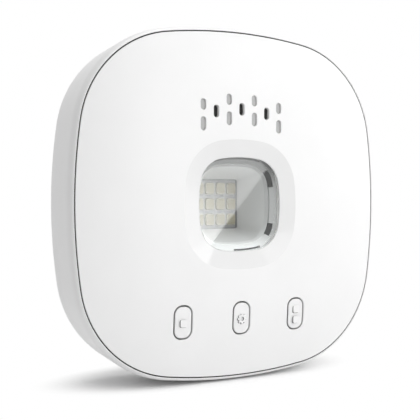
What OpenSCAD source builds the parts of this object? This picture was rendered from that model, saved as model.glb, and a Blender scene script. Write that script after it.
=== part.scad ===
// Garage door controller: a rounded-square hub that slides onto a wall bracket.
// Millimetres. Each piece is drawn lying on its back, x to the right, y up the face and z out of the
// wall, and then stood upright, so the finished part has +Z up and its face towards -Y.
// The origin is the centre of the bracket's wall face.

/* [Body] */
// Width and height of the body at the front seam
seam_w = 116; // [112:0.5:124]
// Radius of the slightly bowed sides of the seam
side_bow_r = 181.6; // [160:0.2:220]
// Corner radius of the seam
corner_r = 35.3; // [33:0.1:40]
// Rounding that carries the housing wall outside the seam
front_edge_r = 1.65; // [1.4:0.05:2]
// Rounding of the rear edge
rear_edge_r = 12; // [9:0.5:13]
// Depth of the housing from the seam to its rear face
rear_depth = 28; // [26:0.5:34]
// Wall thickness of the housing
wall_t = 2.4; // [2.2:0.05:2.7]
// Gap between the rear face and the wall
wall_gap = 1; // [0.6:0.1:1.6]

/* [Front cover] */
// Height of the front face above the seam
crown_h = 2.95; // [2.6:0.05:3.6]
// Width of the rolled-off margin of the front face
crown_run = 27; // [22:0.5:30]
// Thickness of the front cover
cover_t = 2.2; // [1.9:0.1:2.5]
// Gap between the cover's edge and the housing
seam_gap = 0.35; // [0.25:0.05:0.5]
// Depth of the step in the housing that the cover drops into
rebate_d = 3.6; // [3:0.1:4.6]
// Thickness of the cover's edge
skirt_t = 1.6; // [1.3:0.1:2]
// Thickness of the dust seal under the cover's edge
seal_t = 0.6; // [0.4:0.05:0.9]
// How far the seal's lip stays below the seam
seal_drop = 0.45; // [0.3:0.05:0.8]

/* [Light] */
// Width and height of the window
window_w = 31.6; // [30:0.2:33]
// Radius of the bowed sides of the window
window_bow_r = 50; // [46:1:60]
// Corner radius of the window
window_corner_r = 9.7; // [9:0.1:10.5]
// Width of the dished ring round the window
dish_w = 6.05; // [4.5:0.05:6.6]
// Depth of the dished ring at the window's edge
dish_d = 1; // [0.7:0.05:1.2]
// How far the lens lies below the ring
lens_drop = 0.25; // [0.1:0.05:0.4]
// Overlap of the lens flange behind the cover
lens_flange_w = 2.5; // [1.8:0.1:3]
// Thickness of the lens flange
lens_flange_t = 1.2; // [0.9:0.1:1.5]
// Width of the reflector where its slope begins
funnel_w = 26.6; // [24:0.2:28]
// Depth of the collar in front of the reflector's slope
collar_d = 2.6; // [2:0.1:3.4]
// Wall thickness of the reflector
reflector_t = 1.2; // [0.9:0.1:1.5]
// Length of the clip windows in the collar
clip_l = 4.6; // [3.6:0.1:5.4]
// Height of the clip windows in the collar
clip_h = 1.5; // [1.2:0.1:1.7]
// Distance of the clip windows from the middle of their side
clip_offset = 7.4; // [6.4:0.1:8]
// Columns of light emitters
led_cols = 4; // [2:1:4]
// Rows of light emitters
led_rows = 3; // [2:1:3]
// Width of one emitter
led_w = 3.5; // [2.8:0.1:3.8]
// Height of one emitter
led_h = 3.9; // [2.8:0.1:4.6]
// Thickness of one emitter
led_t = 0.75; // [0.5:0.05:1]
// Spacing of the emitter columns
led_pitch_x = 4.3; // [4:0.1:4.6]
// Spacing of the emitter rows
led_pitch_y = 5.5; // [5:0.1:5.8]
// Room beside the emitters in the reflector
led_room_x = 0.7; // [0.4:0.1:1]
// Room above and below the emitters in the reflector
led_room_y = 1.35; // [0.6:0.05:1.6]
// Thickness of the light board
led_board_t = 1; // [0.8:0.1:1.6]
// Width of the light board
led_board_w = 29; // [28:0.5:31]
// Diameter of the light board's screws
led_screw_d = 1.6; // [1.4:0.1:1.8]
// Distance of the light board's screws from its edges
led_screw_edge = 2.5; // [2.2:0.1:2.6]

/* [Buttons] */
// Spacing of the buttons
button_pitch = 22; // [18:0.5:23]
// Distance of the button row from the lower side of the seam
button_inset = 19.85; // [18.5:0.05:21.5]
// Width of a button hole
button_w = 6.9; // [6.2:0.1:7.6]
// Height of a button hole
button_h = 11.3; // [10:0.1:12]
// Corner radius of a button hole
button_r = 3; // [2.4:0.1:3.1]
// Gap round a button
button_gap = 0.5; // [0.35:0.05:0.6]
// Travel of a button
button_travel = 0.7; // [0.4:0.05:1]
// Width of the flange that holds a button in
button_flange_w = 0.8; // [0.6:0.05:1.2]
// Thickness of that flange
button_flange_t = 1; // [0.8:0.1:1.4]
// Diameter of a button's stem
stem_d = 4; // [3.4:0.1:5]
// Height of the raised marks on the buttons
mark_h = 0.45; // [0.3:0.05:0.6]
// How far the marks sit below the middle of a button
mark_drop = 0.22; // [0:0.02:0.4]
// Width of a square mark
dot_w = 2.4; // [1.8:0.1:2.8]
// Corner radius of a square mark
dot_r = 0.5; // [0.3:0.05:0.8]
// Spacing of the pair of square marks
dot_pitch = 3.6; // [3.2:0.1:4]
// Outer diameter of the cog mark
cog_d = 3.4; // [2.8:0.1:4]
// Hole in the cog mark
cog_hole_d = 1.4; // [1:0.1:1.6]
// Side of a switch body
switch_w = 6.2; // [5.6:0.1:7]
// Height of a switch body
switch_h = 4; // [3.5:0.1:5]
// Diameter of a switch plunger
plunger_d = 3.2; // [2.8:0.1:3.4]
// Height of a switch plunger above its body
plunger_h = 3.8; // [3:0.1:5]
// Depth of a plunger in its body at rest
plunger_sink = 1; // [0.8:0.1:1.4]

/* [Sounder] */
// Width of a grille slot
slot_w = 1.95; // [1.6:0.05:2.2]
// Spacing of the slot columns
slot_pitch = 4.9; // [4.4:0.1:5]
// Radius of the arch that the slots follow
slot_arch_r = 48; // [42:1:70]
// Height of the open slots above the centre
slot_y = 31.8; // [31.4:0.1:32.4]
// Length of the open slots
open_slot_h = 4.15; // [3.6:0.05:4.6]
// Rise of the upper filled slots
upper_rise = 3.35; // [3.2:0.05:3.6]
// Length of the upper filled slots
upper_slot_h = 3.63; // [3:0.01:3.9]
// Fall of the lower filled slots
lower_fall = 2.95; // [2.8:0.05:3.1]
// Length of the lower filled slots
lower_slot_h = 4.5; // [4:0.05:4.7]
// How far the filled slots are sunk below the face
slot_sink = 0.5; // [0.3:0.05:0.8]
// Thickness of the insert behind the slots
insert_t = 1; // [0.8:0.1:1.4]
// Margin of the insert round the slots
insert_rim = 1.6; // [1.2:0.1:1.9]
// Thickness of the mesh behind the insert
mesh_t = 0.5; // [0.3:0.05:0.8]
// Outer diameter of the sounder
sounder_d = 20; // [18:0.5:21]
// Height of the sounder
sounder_h = 7; // [6:0.2:9]
// Wall of the sounder
sounder_wall = 1.2; // [1:0.1:1.5]
// Thickness of the sounder's disc
disc_t = 0.5; // [0.3:0.05:0.8]
// Height of the disc above the sounder's floor
disc_lift = 2; // [1.5:0.1:3]

/* [Boards] */
// Distance of the main board's edge from the seam outline
board_inset = 6; // [4.5:0.1:8]
// Thickness of the main board
board_t = 1.6; // [1.2:0.1:2]
// Room between the main board and the bracket recess
board_room = 1.4; // [0.8:0.1:2]
// Distance of the board screws from the centre line
board_screw_x = 44; // [42.5:0.1:44.5]
// Distance of the board screws above and below the centre
board_screw_y = 14; // [12:0.5:16]
// Diameter of the board screws
board_screw_d = 2.2; // [1.8:0.1:2.5]
// Width and length of the network radio
wifi_size = [16, 23]; // [12:0.5:26]
// Height of the network radio
wifi_h = 3.2; // [2.4:0.1:4]
// Width of the processor
processor_w = 12; // [9:0.5:14]
// Height of the processor
processor_h = 1.4; // [0.9:0.1:2]
// Width and length of the door radio
door_radio_size = [14, 16]; // [10:0.5:17]
// Height of the door radio
door_radio_h = 3; // [2.2:0.1:4]
// Diameter of the capacitors
capacitor_d = 8; // [6.3:0.1:9]
// Height of the capacitors
capacitor_h = 11.5; // [8:0.5:13]
// Side of the power coil
coil_w = 9; // [7:0.5:10]
// Height of the power coil
coil_h = 4.5; // [3:0.1:6]
// Length of the door radio's antenna
antenna_l = 28; // [20:1:34]
// Height of the antenna
antenna_h = 7; // [5:0.5:9]
// Thickness of the antenna strip
antenna_t = 0.5; // [0.4:0.05:0.8]
// Width of the antenna's legs
antenna_leg_w = 3.5; // [2:0.1:4]
// Distance of the antenna's feed leg from its middle
antenna_feed_x = 4.9; // [3:0.1:8]
// Wall round a board screw's hole
board_post_wall = 1.9; // [1.5:0.1:2.1]

/* [Power inlet] */
// Width of the power inlet
inlet_w = 9; // [8:0.1:10]
// Length of the power inlet behind the wall
inlet_l = 10.5; // [9:0.1:11]
// Diameter of the inlet's nose
inlet_nose_d = 7; // [6:0.1:7.6]
// Diameter of the inlet's socket
inlet_bore_d = 3.7; // [3.4:0.05:3.9]
// Depth of the inlet's socket
inlet_bore_l = 9; // [7:0.1:9.5]
// Diameter of the inlet's pin
inlet_pin_d = 1.3; // [1:0.05:1.6]
// How far the inlet's nose stays inside the wall
inlet_sink = 0.6; // [0.3:0.1:1]

/* [Case screws] */
// Spacing of the case screws
case_screw_pitch = 66; // [64:0.5:70]
// Diameter of the case screws
case_screw_d = 2.8; // [2.4:0.1:3.2]
// Head diameter of the case screws
case_head_d = 5.6; // [5:0.1:6]
// Head height of the screws
screw_head_h = 1.8; // [1.4:0.1:2.2]
// Wall round a sunk hole for a case screw
post_wall = 1.2; // [1:0.05:1.5]
// Wall round a case screw's hole in the cover
boss_wall = 2.1; // [1.8:0.1:2.4]
// Room past the tip of a screw
tip_room = 1; // [0.8:0.1:1.2]
// Depth of the sunk holes for the screw heads
post_sink = 10; // [8:0.5:11]

/* [Bracket] */
// Width of the bracket between the housing's lips
bracket_w = 43; // [38:0.5:45]
// Height of the bracket
bracket_h = 56; // [52:0.5:58]
// Thickness of the bracket's plate
plate_t = 2; // [1.8:0.1:2.4]
// Thickness of the bracket's side rails
rail_t = 3; // [2.4:0.1:4]
// Reach of the bracket's tabs behind the lips
tab_reach = 3.5; // [2.5:0.1:4]
// Length of a tab
tab_l = 11; // [9:0.5:12]
// Thickness of a tab
tab_t = 2; // [1.6:0.1:2.2]
// Distance of the tabs from the bracket's ends
tab_end = 2; // [1:0.5:4]
// Thickness of the housing's lips
lip_t = 1.6; // [1.4:0.1:1.8]
// Depth of the recess for the bracket
recess_d = 5; // [4.8:0.1:5.6]
// Distance the hub slides up to come off the bracket
slide_travel = 14; // [13:0.5:15]
// Room that is left below the bracket at the end of its slide
slide_room = 1; // [0.5:0.1:1.5]
// Spacing of the wall screw holes
wall_hole_pitch = 30; // [24:0.5:36]
// Diameter of the wall screw holes
wall_hole_d = 4.5; // [3.8:0.1:5]
// Width of the raised ring round a wall screw hole
wall_hole_rim = 2.5; // [2:0.1:3]
// Height of that ring above the plate
wall_hole_rise = 0.6; // [0.4:0.1:1]

/* [Hidden] */
$fn = 96;
// Play of sliding and loose fits
play = 0.3;
// Play of close fits
fit = 0.05;
// Overlap of solids that are joined, and of cuts past a face
joint = 0.4;
// Long enough to cut through anything
far = 200;
// Width over which a swept rim runs into the flat plate inside it
rim_lap = 2;

// A rounded square is [width, radius of the bowed sides, corner radius]: four side arcs and four corner
// arcs that meet smoothly.
seam = [seam_w, side_bow_r, corner_r];
window = [window_w, window_bow_r, window_corner_r];

back_z = wall_gap;
floor_z = back_z + wall_t;
seam_z = back_z + rear_depth;
front_z = seam_z + crown_h;
rebate_z = seam_z - rebate_d;
skirt_z = rebate_z + seal_t;
recess_z = back_z + recess_d;
// Inset from the seam outline of the housing's outer and inner wall
outer_inset = -front_edge_r;
inner_inset = wall_t - front_edge_r;
inner_half = seam_w / 2 - inner_inset;

board_z = recess_z + wall_t + board_room;
board_top = board_z + board_t;
led_board_top = board_top + led_board_t;
led_top = led_board_top + led_t;

cover_back = front_z - cover_t;
crown_r = (crown_run * crown_run + crown_h * crown_h) / (2 * crown_h);
crown_inset = seam_gap + crown_run;
window_z = front_z - dish_d;
lens_front = window_z - lens_drop;
flange_front = cover_back - fit;
flange_back = flange_front - lens_flange_t;
collar_front = flange_back - fit;
funnel_front = collar_front - collar_d;
funnel_back = led_top + joint;
reflector_back = led_board_top + fit;
led_field_w = (led_cols - 1) * led_pitch_x + led_w + 2 * led_room_x;
led_field_h = (led_rows - 1) * led_pitch_y + led_h + 2 * led_room_y;
led_screw_pitch = led_board_w - 2 * led_screw_edge;

button_drop = seam_w / 2 - button_inset;
button_corner = [button_pitch + button_w / 2, button_drop + button_h / 2] + button_flange_w * [1, 1];
flange_top = crown_z(side_inset(button_corner)) - cover_t - 2 * fit;
stem_back = board_top + switch_h + plunger_h;
button_marks = [[-button_pitch, "dot"], [0, "cog"], [button_pitch, "pair"]];

insert_top = slot_y + upper_rise + upper_slot_h / 2 + insert_rim;
insert_low = slot_y - lower_fall - lower_slot_h / 2 + arch_y(3) - insert_rim;
insert_w = 6 * slot_pitch + slot_w + 2 * insert_rim;
insert_front = crown_z(side_inset([insert_w / 2, insert_top])) - cover_t - fit;
insert_back = insert_front - insert_t;
mesh_back = insert_back - mesh_t;
sounder_back = mesh_back - sounder_h;
sounder_y = slot_y;
disc_z = sounder_back + sounder_wall + disc_lift;

post_top = (seam_z + board_top) / 2;
post_d = case_head_d + 2 * play + 2 * post_wall;
post_seat = back_z + post_sink;
case_screw_tip = cover_back - tip_room;
post_board_room = 0.7;
board_post_d = board_screw_d + 2 * board_post_wall;

inlet_z = board_top + inlet_w / 2;
inlet_front = -inner_half + play;
inlet_nose_y = -inner_half - wall_t + inlet_sink;

lip_top = back_z + lip_t;
tab_z = lip_top + play;
tab_top = tab_z + tab_t;
recess_half = bracket_w / 2 + tab_reach + play;
recess_top = bracket_h / 2 + play;
recess_low = -bracket_h / 2 - slide_travel - slide_room;
tab_y = bracket_h / 2 - tab_end - tab_l / 2;

wifi_at = [-31, 6];
processor_at = [29, 10];
door_radio_at = [31, -11];
capacitors_at = [[-34, -15], [-24, -18.5]];
coil_at = [11, -26];
antenna_at = [0, 46];

// Distance of the side arcs' centres from the middle
function side_centre(o) = o[1] - o[0] / 2;
// Distance of the corner arcs' centres from the middle, along x and along y
function corner_centre(o) =
    let (c = side_centre(o), d = o[1] - o[2]) (sqrt(2 * d * d - c * c) - c) / 2;
// Half of the angle of a side arc
function side_angle(o) = atan2(corner_centre(o), corner_centre(o) + side_centre(o));
// Inset from the seam of a place near the middle of the upper or lower side
function side_inset(at) = side_bow_r - norm([at[0], at[1] + side_centre(seam)]);
// Height of the front face at an inset from the seam
function crown_z(inset) =
    let (run = max(0, crown_inset - inset)) front_z - crown_r + sqrt(crown_r * crown_r - run * run);

// Stands a piece that was drawn lying on its back upright
module upright() {
    rotate([90, 0, 0]) children();
}

// Repeats a piece at the four corners of a square
module at_corners(pitch_x, pitch_y) {
    for (x = [-1, 1], y = [-1, 1]) {
        translate([x * pitch_x / 2, y * pitch_y / 2, 0]) children();
    }
}

// Carries a profile, drawn as inset and height, along an eighth of a rounded square: from the middle of a
// side, round half of the corner. The arcs run a little past both ends and are then cut off square.
module eighth(o) {
    q = corner_centre(o);
    half = side_angle(o);
    spare = 2;
    intersection() {
        translate([q, q, 0]) rotate([0, 0, half]) {
            rotate_extrude(angle = 45 - half + spare) translate([o[2], 0]) mirror([1, 0]) children();
            translate([o[2] - o[1], 0, 0]) rotate_extrude(angle = half + spare, start = -half - spare)
                translate([o[1], 0]) mirror([1, 0]) children();
        }
        linear_extrude(far) polygon([[0, 0], [far, 0], [far, far]]);
    }
}

// Carries a profile, drawn as inset and height, once round a rounded square
module sweep(o) {
    for (x = [0, 1], y = [0, 1], swap = [0, 1]) {
        mirror([x, 0, 0]) mirror([0, y, 0]) mirror([swap, -swap, 0]) eighth(o) children();
    }
}

// A flat plate inside a swept rim
module plate(o, inset, z, h) {
    translate([0, 0, z]) linear_extrude(h) outline(o, inset);
}

// An eighth of the area of a rounded square: from the middle of a side, round half of the corner. The two
// arcs meet on the line through the corner arc's centre.
module eighth_area(o, inset) {
    q = corner_centre(o);
    intersection() {
        translate([q, q]) rotate(side_angle(o)) {
            intersection() {
                circle(o[2] - inset);
                translate([-far, 0]) square(2 * far);
            }
            intersection() {
                translate([o[2] - o[1], 0]) circle(o[1] - inset);
                translate([-far, -2 * far]) square(2 * far);
            }
        }
        polygon([[0, 0], [far, 0], [far, far]]);
    }
}

// The area of a rounded square, drawn in or out by an inset
module outline(o, inset = 0) {
    for (x = [0, 1], y = [0, 1], swap = [0, 1]) {
        mirror([x, 0]) mirror([0, y]) mirror([swap, -swap]) eighth_area(o, inset);
    }
}

// An upright rectangle with round corners
module pill(w, h, r) {
    if (w - 2 * r > fit) square([w - 2 * r, h], center = true);
    square([w, h - 2 * r], center = true);
    for (x = [-1, 1], y = [-1, 1]) translate([x * (w / 2 - r), y * (h / 2 - r)]) circle(r);
}

// A block with its middle at a place on the face
module block(at, size, z, h) {
    translate([at[0] - size[0] / 2, at[1] - size[1] / 2, z]) cube([size[0], size[1], h]);
}

// Places of the grille slots: [column, height of the middle, length]
function arch_y(column) =
    let (x = column * slot_pitch) sqrt(slot_arch_r * slot_arch_r - x * x) - slot_arch_r;
open_slots = [for (column = [-2, 0, 2]) [column, slot_y + arch_y(column), open_slot_h]];
filled_slots = [
    for (column = [-3, -1, 1, 3])
        for (row = [[upper_rise, upper_slot_h], [-lower_fall, lower_slot_h]])
            [column, slot_y + row[0] + arch_y(column), row[1]]
];

module slots(list, grow = 0) {
    for (s = list) {
        translate([s[0] * slot_pitch, s[1]]) pill(slot_w + 2 * grow, s[2] + 2 * grow, slot_w / 2 + grow);
    }
}

// The area of the parts behind the slots
module insert_area() {
    translate([0, (insert_top + insert_low) / 2]) pill(insert_w, insert_top - insert_low, insert_rim);
}

// The area under the front surface from an inset to where the face is flat, drawn in by a depth
module crown_section(depth, inset) {
    intersection() {
        union() {
            translate([crown_inset, front_z - crown_r]) circle(crown_r - depth);
            translate([crown_inset, 0]) square([rim_lap, front_z - depth]);
        }
        translate([inset, 0]) square([crown_inset + rim_lap - inset, far]);
    }
}

// The solid under the front surface, down to a height
module crown_solid(z) {
    sweep(seam) {
        intersection() {
            crown_section(0, seam_gap);
            translate([0, z]) square(far);
        }
    }
    plate(seam, crown_inset + rim_lap / 2, z, front_z - z);
}

module cover_shell() {
    sweep(seam) {
        difference() {
            crown_section(0, seam_gap);
            crown_section(cover_t, seam_gap + skirt_t);
            square([far, skirt_z]);
        }
    }
    plate(seam, crown_inset + rim_lap / 2, cover_back, cover_t);
}

// The dished ring and the window's opening
module dish_cut() {
    over = 0.5;
    rise = over * dish_d / dish_w;
    hull() {
        translate([0, 0, front_z + rise]) linear_extrude(fit) outline(window, -dish_w - over);
        translate([0, 0, window_z - rise]) linear_extrude(fit) outline(window, over);
    }
    translate([0, 0, cover_back - joint]) linear_extrude(cover_t + 2 * joint) outline(window);
}

module button_area(grow) {
    pill(button_w + 2 * grow, button_h + 2 * grow, button_r + grow);
}

module front_cover() {
    boss_d = case_screw_d + 2 * boss_wall;
    boss_base = post_top + fit;
    boss_top = cover_back + 2 * joint;
    hole_top = case_screw_tip + tip_room / 2;
    color("white") upright() {
        difference() {
            cover_shell();
            dish_cut();
            translate([0, 0, flange_top - joint]) linear_extrude(far) {
                slots(open_slots);
                slots(filled_slots);
                for (b = button_marks) translate([b[0], -button_drop]) button_area(0);
            }
        }
        at_corners(case_screw_pitch, case_screw_pitch) {
            translate([0, 0, boss_base]) difference() {
                cylinder(d = boss_d, h = boss_top - boss_base);
                translate([0, 0, -joint])
                    cylinder(d = case_screw_d + 2 * fit, h = hole_top - boss_base + joint);
            }
        }
    }
}

module housing_section() {
    edge_x = outer_inset + rear_edge_r;
    edge_z = back_z + rear_edge_r;
    difference() {
        union() {
            translate([0, seam_z - front_edge_r]) circle(front_edge_r);
            translate([outer_inset, edge_z]) square([wall_t, seam_z - front_edge_r - edge_z]);
            translate([edge_x, edge_z]) intersection() {
                circle(rear_edge_r);
                translate([-rear_edge_r, -rear_edge_r]) square(rear_edge_r);
            }
            translate([edge_x, back_z]) square([rim_lap, wall_t]);
        }
        translate([edge_x, edge_z]) circle(rear_edge_r - wall_t);
        translate([inner_inset, edge_z]) square(far);
        translate([0, rebate_z]) square(far);
    }
}

module recess_block(grow, z, top) {
    translate([-recess_half - grow, recess_low - grow, z])
        cube([2 * (recess_half + grow), recess_top - recess_low + 2 * grow, top - z]);
}

module rear_housing() {
    color("whitesmoke") upright() {
        difference() {
            union() {
                sweep(seam) housing_section();
                plate(seam, outer_inset + rear_edge_r + rim_lap / 2, back_z, wall_t);
                recess_block(wall_t, back_z + joint, recess_z + wall_t);
                at_corners(case_screw_pitch, case_screw_pitch)
                    translate([0, 0, back_z + joint]) cylinder(d = post_d, h = post_top - back_z - joint);
                at_corners(2 * board_screw_x, 2 * board_screw_y)
                    translate([0, 0, back_z + joint]) cylinder(d = board_post_d, h = board_z - back_z - joint);
            }
            recess_block(0, 0, recess_z);
            at_corners(case_screw_pitch, case_screw_pitch) {
                cylinder(d = case_head_d + 2 * play, h = post_seat);
                cylinder(d = case_screw_d + 2 * play, h = far);
            }
            at_corners(2 * board_screw_x, 2 * board_screw_y)
                translate([0, 0, floor_z]) cylinder(d = board_screw_d + 2 * fit, h = far);
            translate([0, inlet_front, inlet_z]) rotate([90, 0, 0])
                cylinder(d = inlet_nose_d + 2 * play, h = 2 * wall_t);
        }
        for (x = [-1, 1], y = [-1, 1]) {
            lip_w = tab_reach + joint;
            translate([x * (recess_half + joint - lip_w / 2) - lip_w / 2, y * tab_y - tab_l / 2, back_z])
                cube([lip_w, tab_l, lip_t]);
        }
    }
}

// A flat ring between two insets of the seam outline
module seam_ring(outer, inner, z, h) {
    translate([0, 0, z]) linear_extrude(h) difference() {
        outline(seam, outer);
        outline(seam, inner);
    }
}

module seam_seal() {
    color("dimgray") upright() {
        seam_ring(fit, inner_inset, rebate_z, seal_t);
        seam_ring(fit, seam_gap - fit, rebate_z, rebate_d - seal_drop);
    }
}

module window_lens() {
    color("lightcyan", 0.4) upright() {
        translate([0, 0, flange_back]) linear_extrude(lens_front - flange_back) outline(window, 2 * fit);
        translate([0, 0, flange_back]) linear_extrude(lens_flange_t) outline(window, -lens_flange_w);
    }
}

// A funnel from a rounded square down to the emitters' rectangle
module funnel(grow) {
    hull() {
        translate([0, 0, funnel_front]) linear_extrude(fit)
            outline(window, (window_w - funnel_w) / 2 - grow, $fn = 32);
        translate([0, 0, funnel_back - fit]) linear_extrude(fit)
            square([led_field_w + 2 * grow, led_field_h + 2 * grow], center = true);
    }
}

module collar(inset_front, inset_back) {
    hull() {
        translate([0, 0, collar_front - fit]) linear_extrude(fit) outline(window, inset_front, $fn = 32);
        translate([0, 0, funnel_front]) linear_extrude(fit) outline(window, inset_back, $fn = 32);
    }
}

module light_reflector() {
    funnel_inset = (window_w - funnel_w) / 2;
    clip_z = collar_front - collar_d / 2;
    color("gainsboro") upright() difference() {
        union() {
            translate([0, 0, funnel_front]) linear_extrude(collar_d) outline(window, -lens_flange_w);
            funnel(reflector_t);
            translate([0, 0, reflector_back]) linear_extrude(funnel_back - reflector_back)
                square([led_field_w + 2 * reflector_t, led_field_h + 2 * reflector_t], center = true);
        }
        collar(2 * fit, funnel_inset);
        funnel(0);
        translate([0, 0, reflector_back - joint]) linear_extrude(funnel_back - reflector_back + joint + fit)
            square([led_field_w, led_field_h], center = true);
        for (turn = [0:3], side = [-1, 1]) {
            rotate([0, 0, 90 * turn])
                translate([0, side * clip_offset - clip_l / 2, clip_z - clip_h / 2])
                    cube([far, clip_l, clip_h]);
        }
    }
}

module led_board() {
    color("lightgray") upright() difference() {
        block([0, 0], [led_board_w, led_board_w], board_top, led_board_t);
        at_corners(led_screw_pitch, led_screw_pitch)
            translate([0, 0, board_top - joint]) cylinder(d = led_screw_d + 4 * fit, h = far);
    }
}

module led_emitters() {
    color("khaki") upright() {
        for (column = [0:led_cols - 1], row = [0:led_rows - 1]) {
            x = (column - (led_cols - 1) / 2) * led_pitch_x;
            y = (row - (led_rows - 1) / 2) * led_pitch_y;
            block([x, y], [led_w, led_h], led_board_top, led_t);
        }
    }
}

// A pan-head screw with its head's underside at z and its shank towards the wall
module screw(d, head_d, head_h, z, tip) {
    translate([0, 0, tip]) cylinder(d = d, h = z - tip + joint);
    translate([0, 0, z]) cylinder(d = head_d, h = head_h);
}

module led_board_screws() {
    color("silver") upright() at_corners(led_screw_pitch, led_screw_pitch)
        screw(led_screw_d, 2 * led_screw_d, 0.8 * led_screw_d, led_board_top, board_z);
}

module mark(kind) {
    if (kind == "dot") pill(dot_w, dot_w, dot_r);
    if (kind == "pair") {
        for (side = [-1, 1]) translate([0, side * dot_pitch / 2]) pill(dot_w, dot_w, dot_r);
    }
    if (kind == "cog") difference() {
        tooth_w = cog_d / 5;
        union() {
            circle(d = cog_d - 1.2 * tooth_w);
            for (tooth = [0:7]) {
                rotate(45 * tooth) translate([0, (cog_d - tooth_w) / 2]) square(tooth_w, center = true);
            }
        }
        circle(d = cog_hole_d);
    }
}

module button(index) {
    at = [button_marks[index][0], -button_drop];
    face_z = crown_z(button_inset);
    color("white") upright() {
        intersection() {
            translate([at[0], at[1], flange_top - button_flange_t]) linear_extrude(far)
                button_area(-button_gap);
            crown_solid(flange_top - button_flange_t - joint);
        }
        translate([at[0], at[1], flange_top - button_flange_t]) linear_extrude(button_flange_t)
            button_area(button_flange_w);
        translate([at[0], at[1] - mark_drop, face_z - joint]) linear_extrude(joint + mark_h)
            mark(button_marks[index][1]);
        translate([at[0], at[1], stem_back]) cylinder(d = stem_d, h = flange_top - stem_back - joint);
    }
}

module left_button() {
    button(0);
}

module centre_button() {
    button(1);
}

module right_button() {
    button(2);
}

module switch_plunger(index) {
    plunger_back = stem_back - plunger_h - plunger_sink;
    color("black") upright() translate([button_marks[index][0], -button_drop, plunger_back])
        cylinder(d = plunger_d, h = stem_back - plunger_back);
}

module left_switch_plunger() {
    switch_plunger(0);
}

module centre_switch_plunger() {
    switch_plunger(1);
}

module right_switch_plunger() {
    switch_plunger(2);
}

module switch_bodies() {
    well_d = plunger_sink + button_travel + play;
    color("dimgray") upright() for (b = button_marks) {
        difference() {
            block([b[0], -button_drop], [switch_w, switch_w], board_top, switch_h);
            translate([b[0], -button_drop, board_top + switch_h - well_d])
                cylinder(d = plunger_d + 2 * play, h = far);
        }
    }
}

module main_board() {
    color("darkgreen") upright() difference() {
        translate([0, 0, board_z]) linear_extrude(board_t) outline(seam, board_inset);
        at_corners(case_screw_pitch, case_screw_pitch)
            cylinder(d = post_d + 2 * post_board_room, h = far);
        at_corners(2 * board_screw_x, 2 * board_screw_y)
            cylinder(d = board_screw_d + 2 * play, h = far);
        at_corners(led_screw_pitch, led_screw_pitch)
            cylinder(d = led_screw_d + 4 * fit, h = far);
    }
}

module wifi_module() {
    color("silver") upright() block(wifi_at, wifi_size, board_top, wifi_h);
}

module processor_chip() {
    color("black") upright() block(processor_at, [processor_w, processor_w], board_top, processor_h);
}

module door_radio() {
    color("silver") upright() block(door_radio_at, door_radio_size, board_top, door_radio_h);
}

module door_radio_antenna() {
    color("gold") upright() {
        block(antenna_at, [antenna_l, antenna_t], board_top + antenna_h / 2, antenna_h / 2);
        for (x = [(antenna_leg_w - antenna_l) / 2, antenna_feed_x]) {
            block(antenna_at + [x, 0], [antenna_leg_w, antenna_t], board_top, antenna_h);
        }
    }
}

module capacitors() {
    color("midnightblue") upright() for (at = capacitors_at) {
        translate([at[0], at[1], board_top]) cylinder(d = capacitor_d, h = capacitor_h);
    }
}

module power_coil() {
    color("dimgray") upright() block(coil_at, [coil_w, coil_w], board_top, coil_h);
}

module grille_insert() {
    color("darkgray") upright() {
        difference() {
            translate([0, 0, insert_back]) linear_extrude(insert_t) insert_area();
            translate([0, 0, insert_back - joint]) linear_extrude(insert_t + 2 * joint) slots(open_slots);
        }
        translate([0, 0, insert_back + joint]) linear_extrude(front_z - slot_sink - insert_back - joint)
            slots(filled_slots, -fit);
    }
}

module sound_mesh() {
    color("black") upright() translate([0, 0, mesh_back]) linear_extrude(mesh_t) insert_area();
}

module sounder_housing() {
    color("black") upright() translate([0, sounder_y, sounder_back]) difference() {
        cylinder(d = sounder_d, h = sounder_h - fit);
        translate([0, 0, sounder_wall]) cylinder(d = sounder_d - 4 * sounder_wall, h = far);
        translate([0, 0, disc_z - sounder_back]) cylinder(d = sounder_d - 2 * sounder_wall, h = far);
    }
}

module sounder_disc() {
    color("goldenrod") upright() translate([0, sounder_y, disc_z])
        cylinder(d = sounder_d - 2 * sounder_wall - 4 * fit, h = disc_t);
}

module power_inlet() {
    color("black") upright() {
        difference() {
            union() {
                translate([-inlet_w / 2, inlet_front, board_top]) cube([inlet_w, inlet_l, inlet_w]);
                translate([0, inlet_front + joint, inlet_z]) rotate([90, 0, 0])
                    cylinder(d = inlet_nose_d, h = inlet_front + joint - inlet_nose_y);
            }
            translate([0, inlet_nose_y + inlet_bore_l, inlet_z]) rotate([90, 0, 0])
                cylinder(d = inlet_bore_d, h = far);
        }
        translate([0, inlet_nose_y + inlet_bore_l + joint, inlet_z]) rotate([90, 0, 0])
            cylinder(d = inlet_pin_d, h = inlet_bore_l);
    }
}

module board_screws() {
    color("silver") upright() at_corners(2 * board_screw_x, 2 * board_screw_y)
        screw(board_screw_d, 2 * board_screw_d, screw_head_h, board_top, floor_z + tip_room);
}

module case_screws() {
    color("silver") upright() at_corners(case_screw_pitch, case_screw_pitch) {
        translate([0, 0, post_seat - screw_head_h]) cylinder(d = case_head_d, h = screw_head_h);
        translate([0, 0, post_seat - joint])
            cylinder(d = case_screw_d, h = case_screw_tip - post_seat + joint);
    }
}

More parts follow.
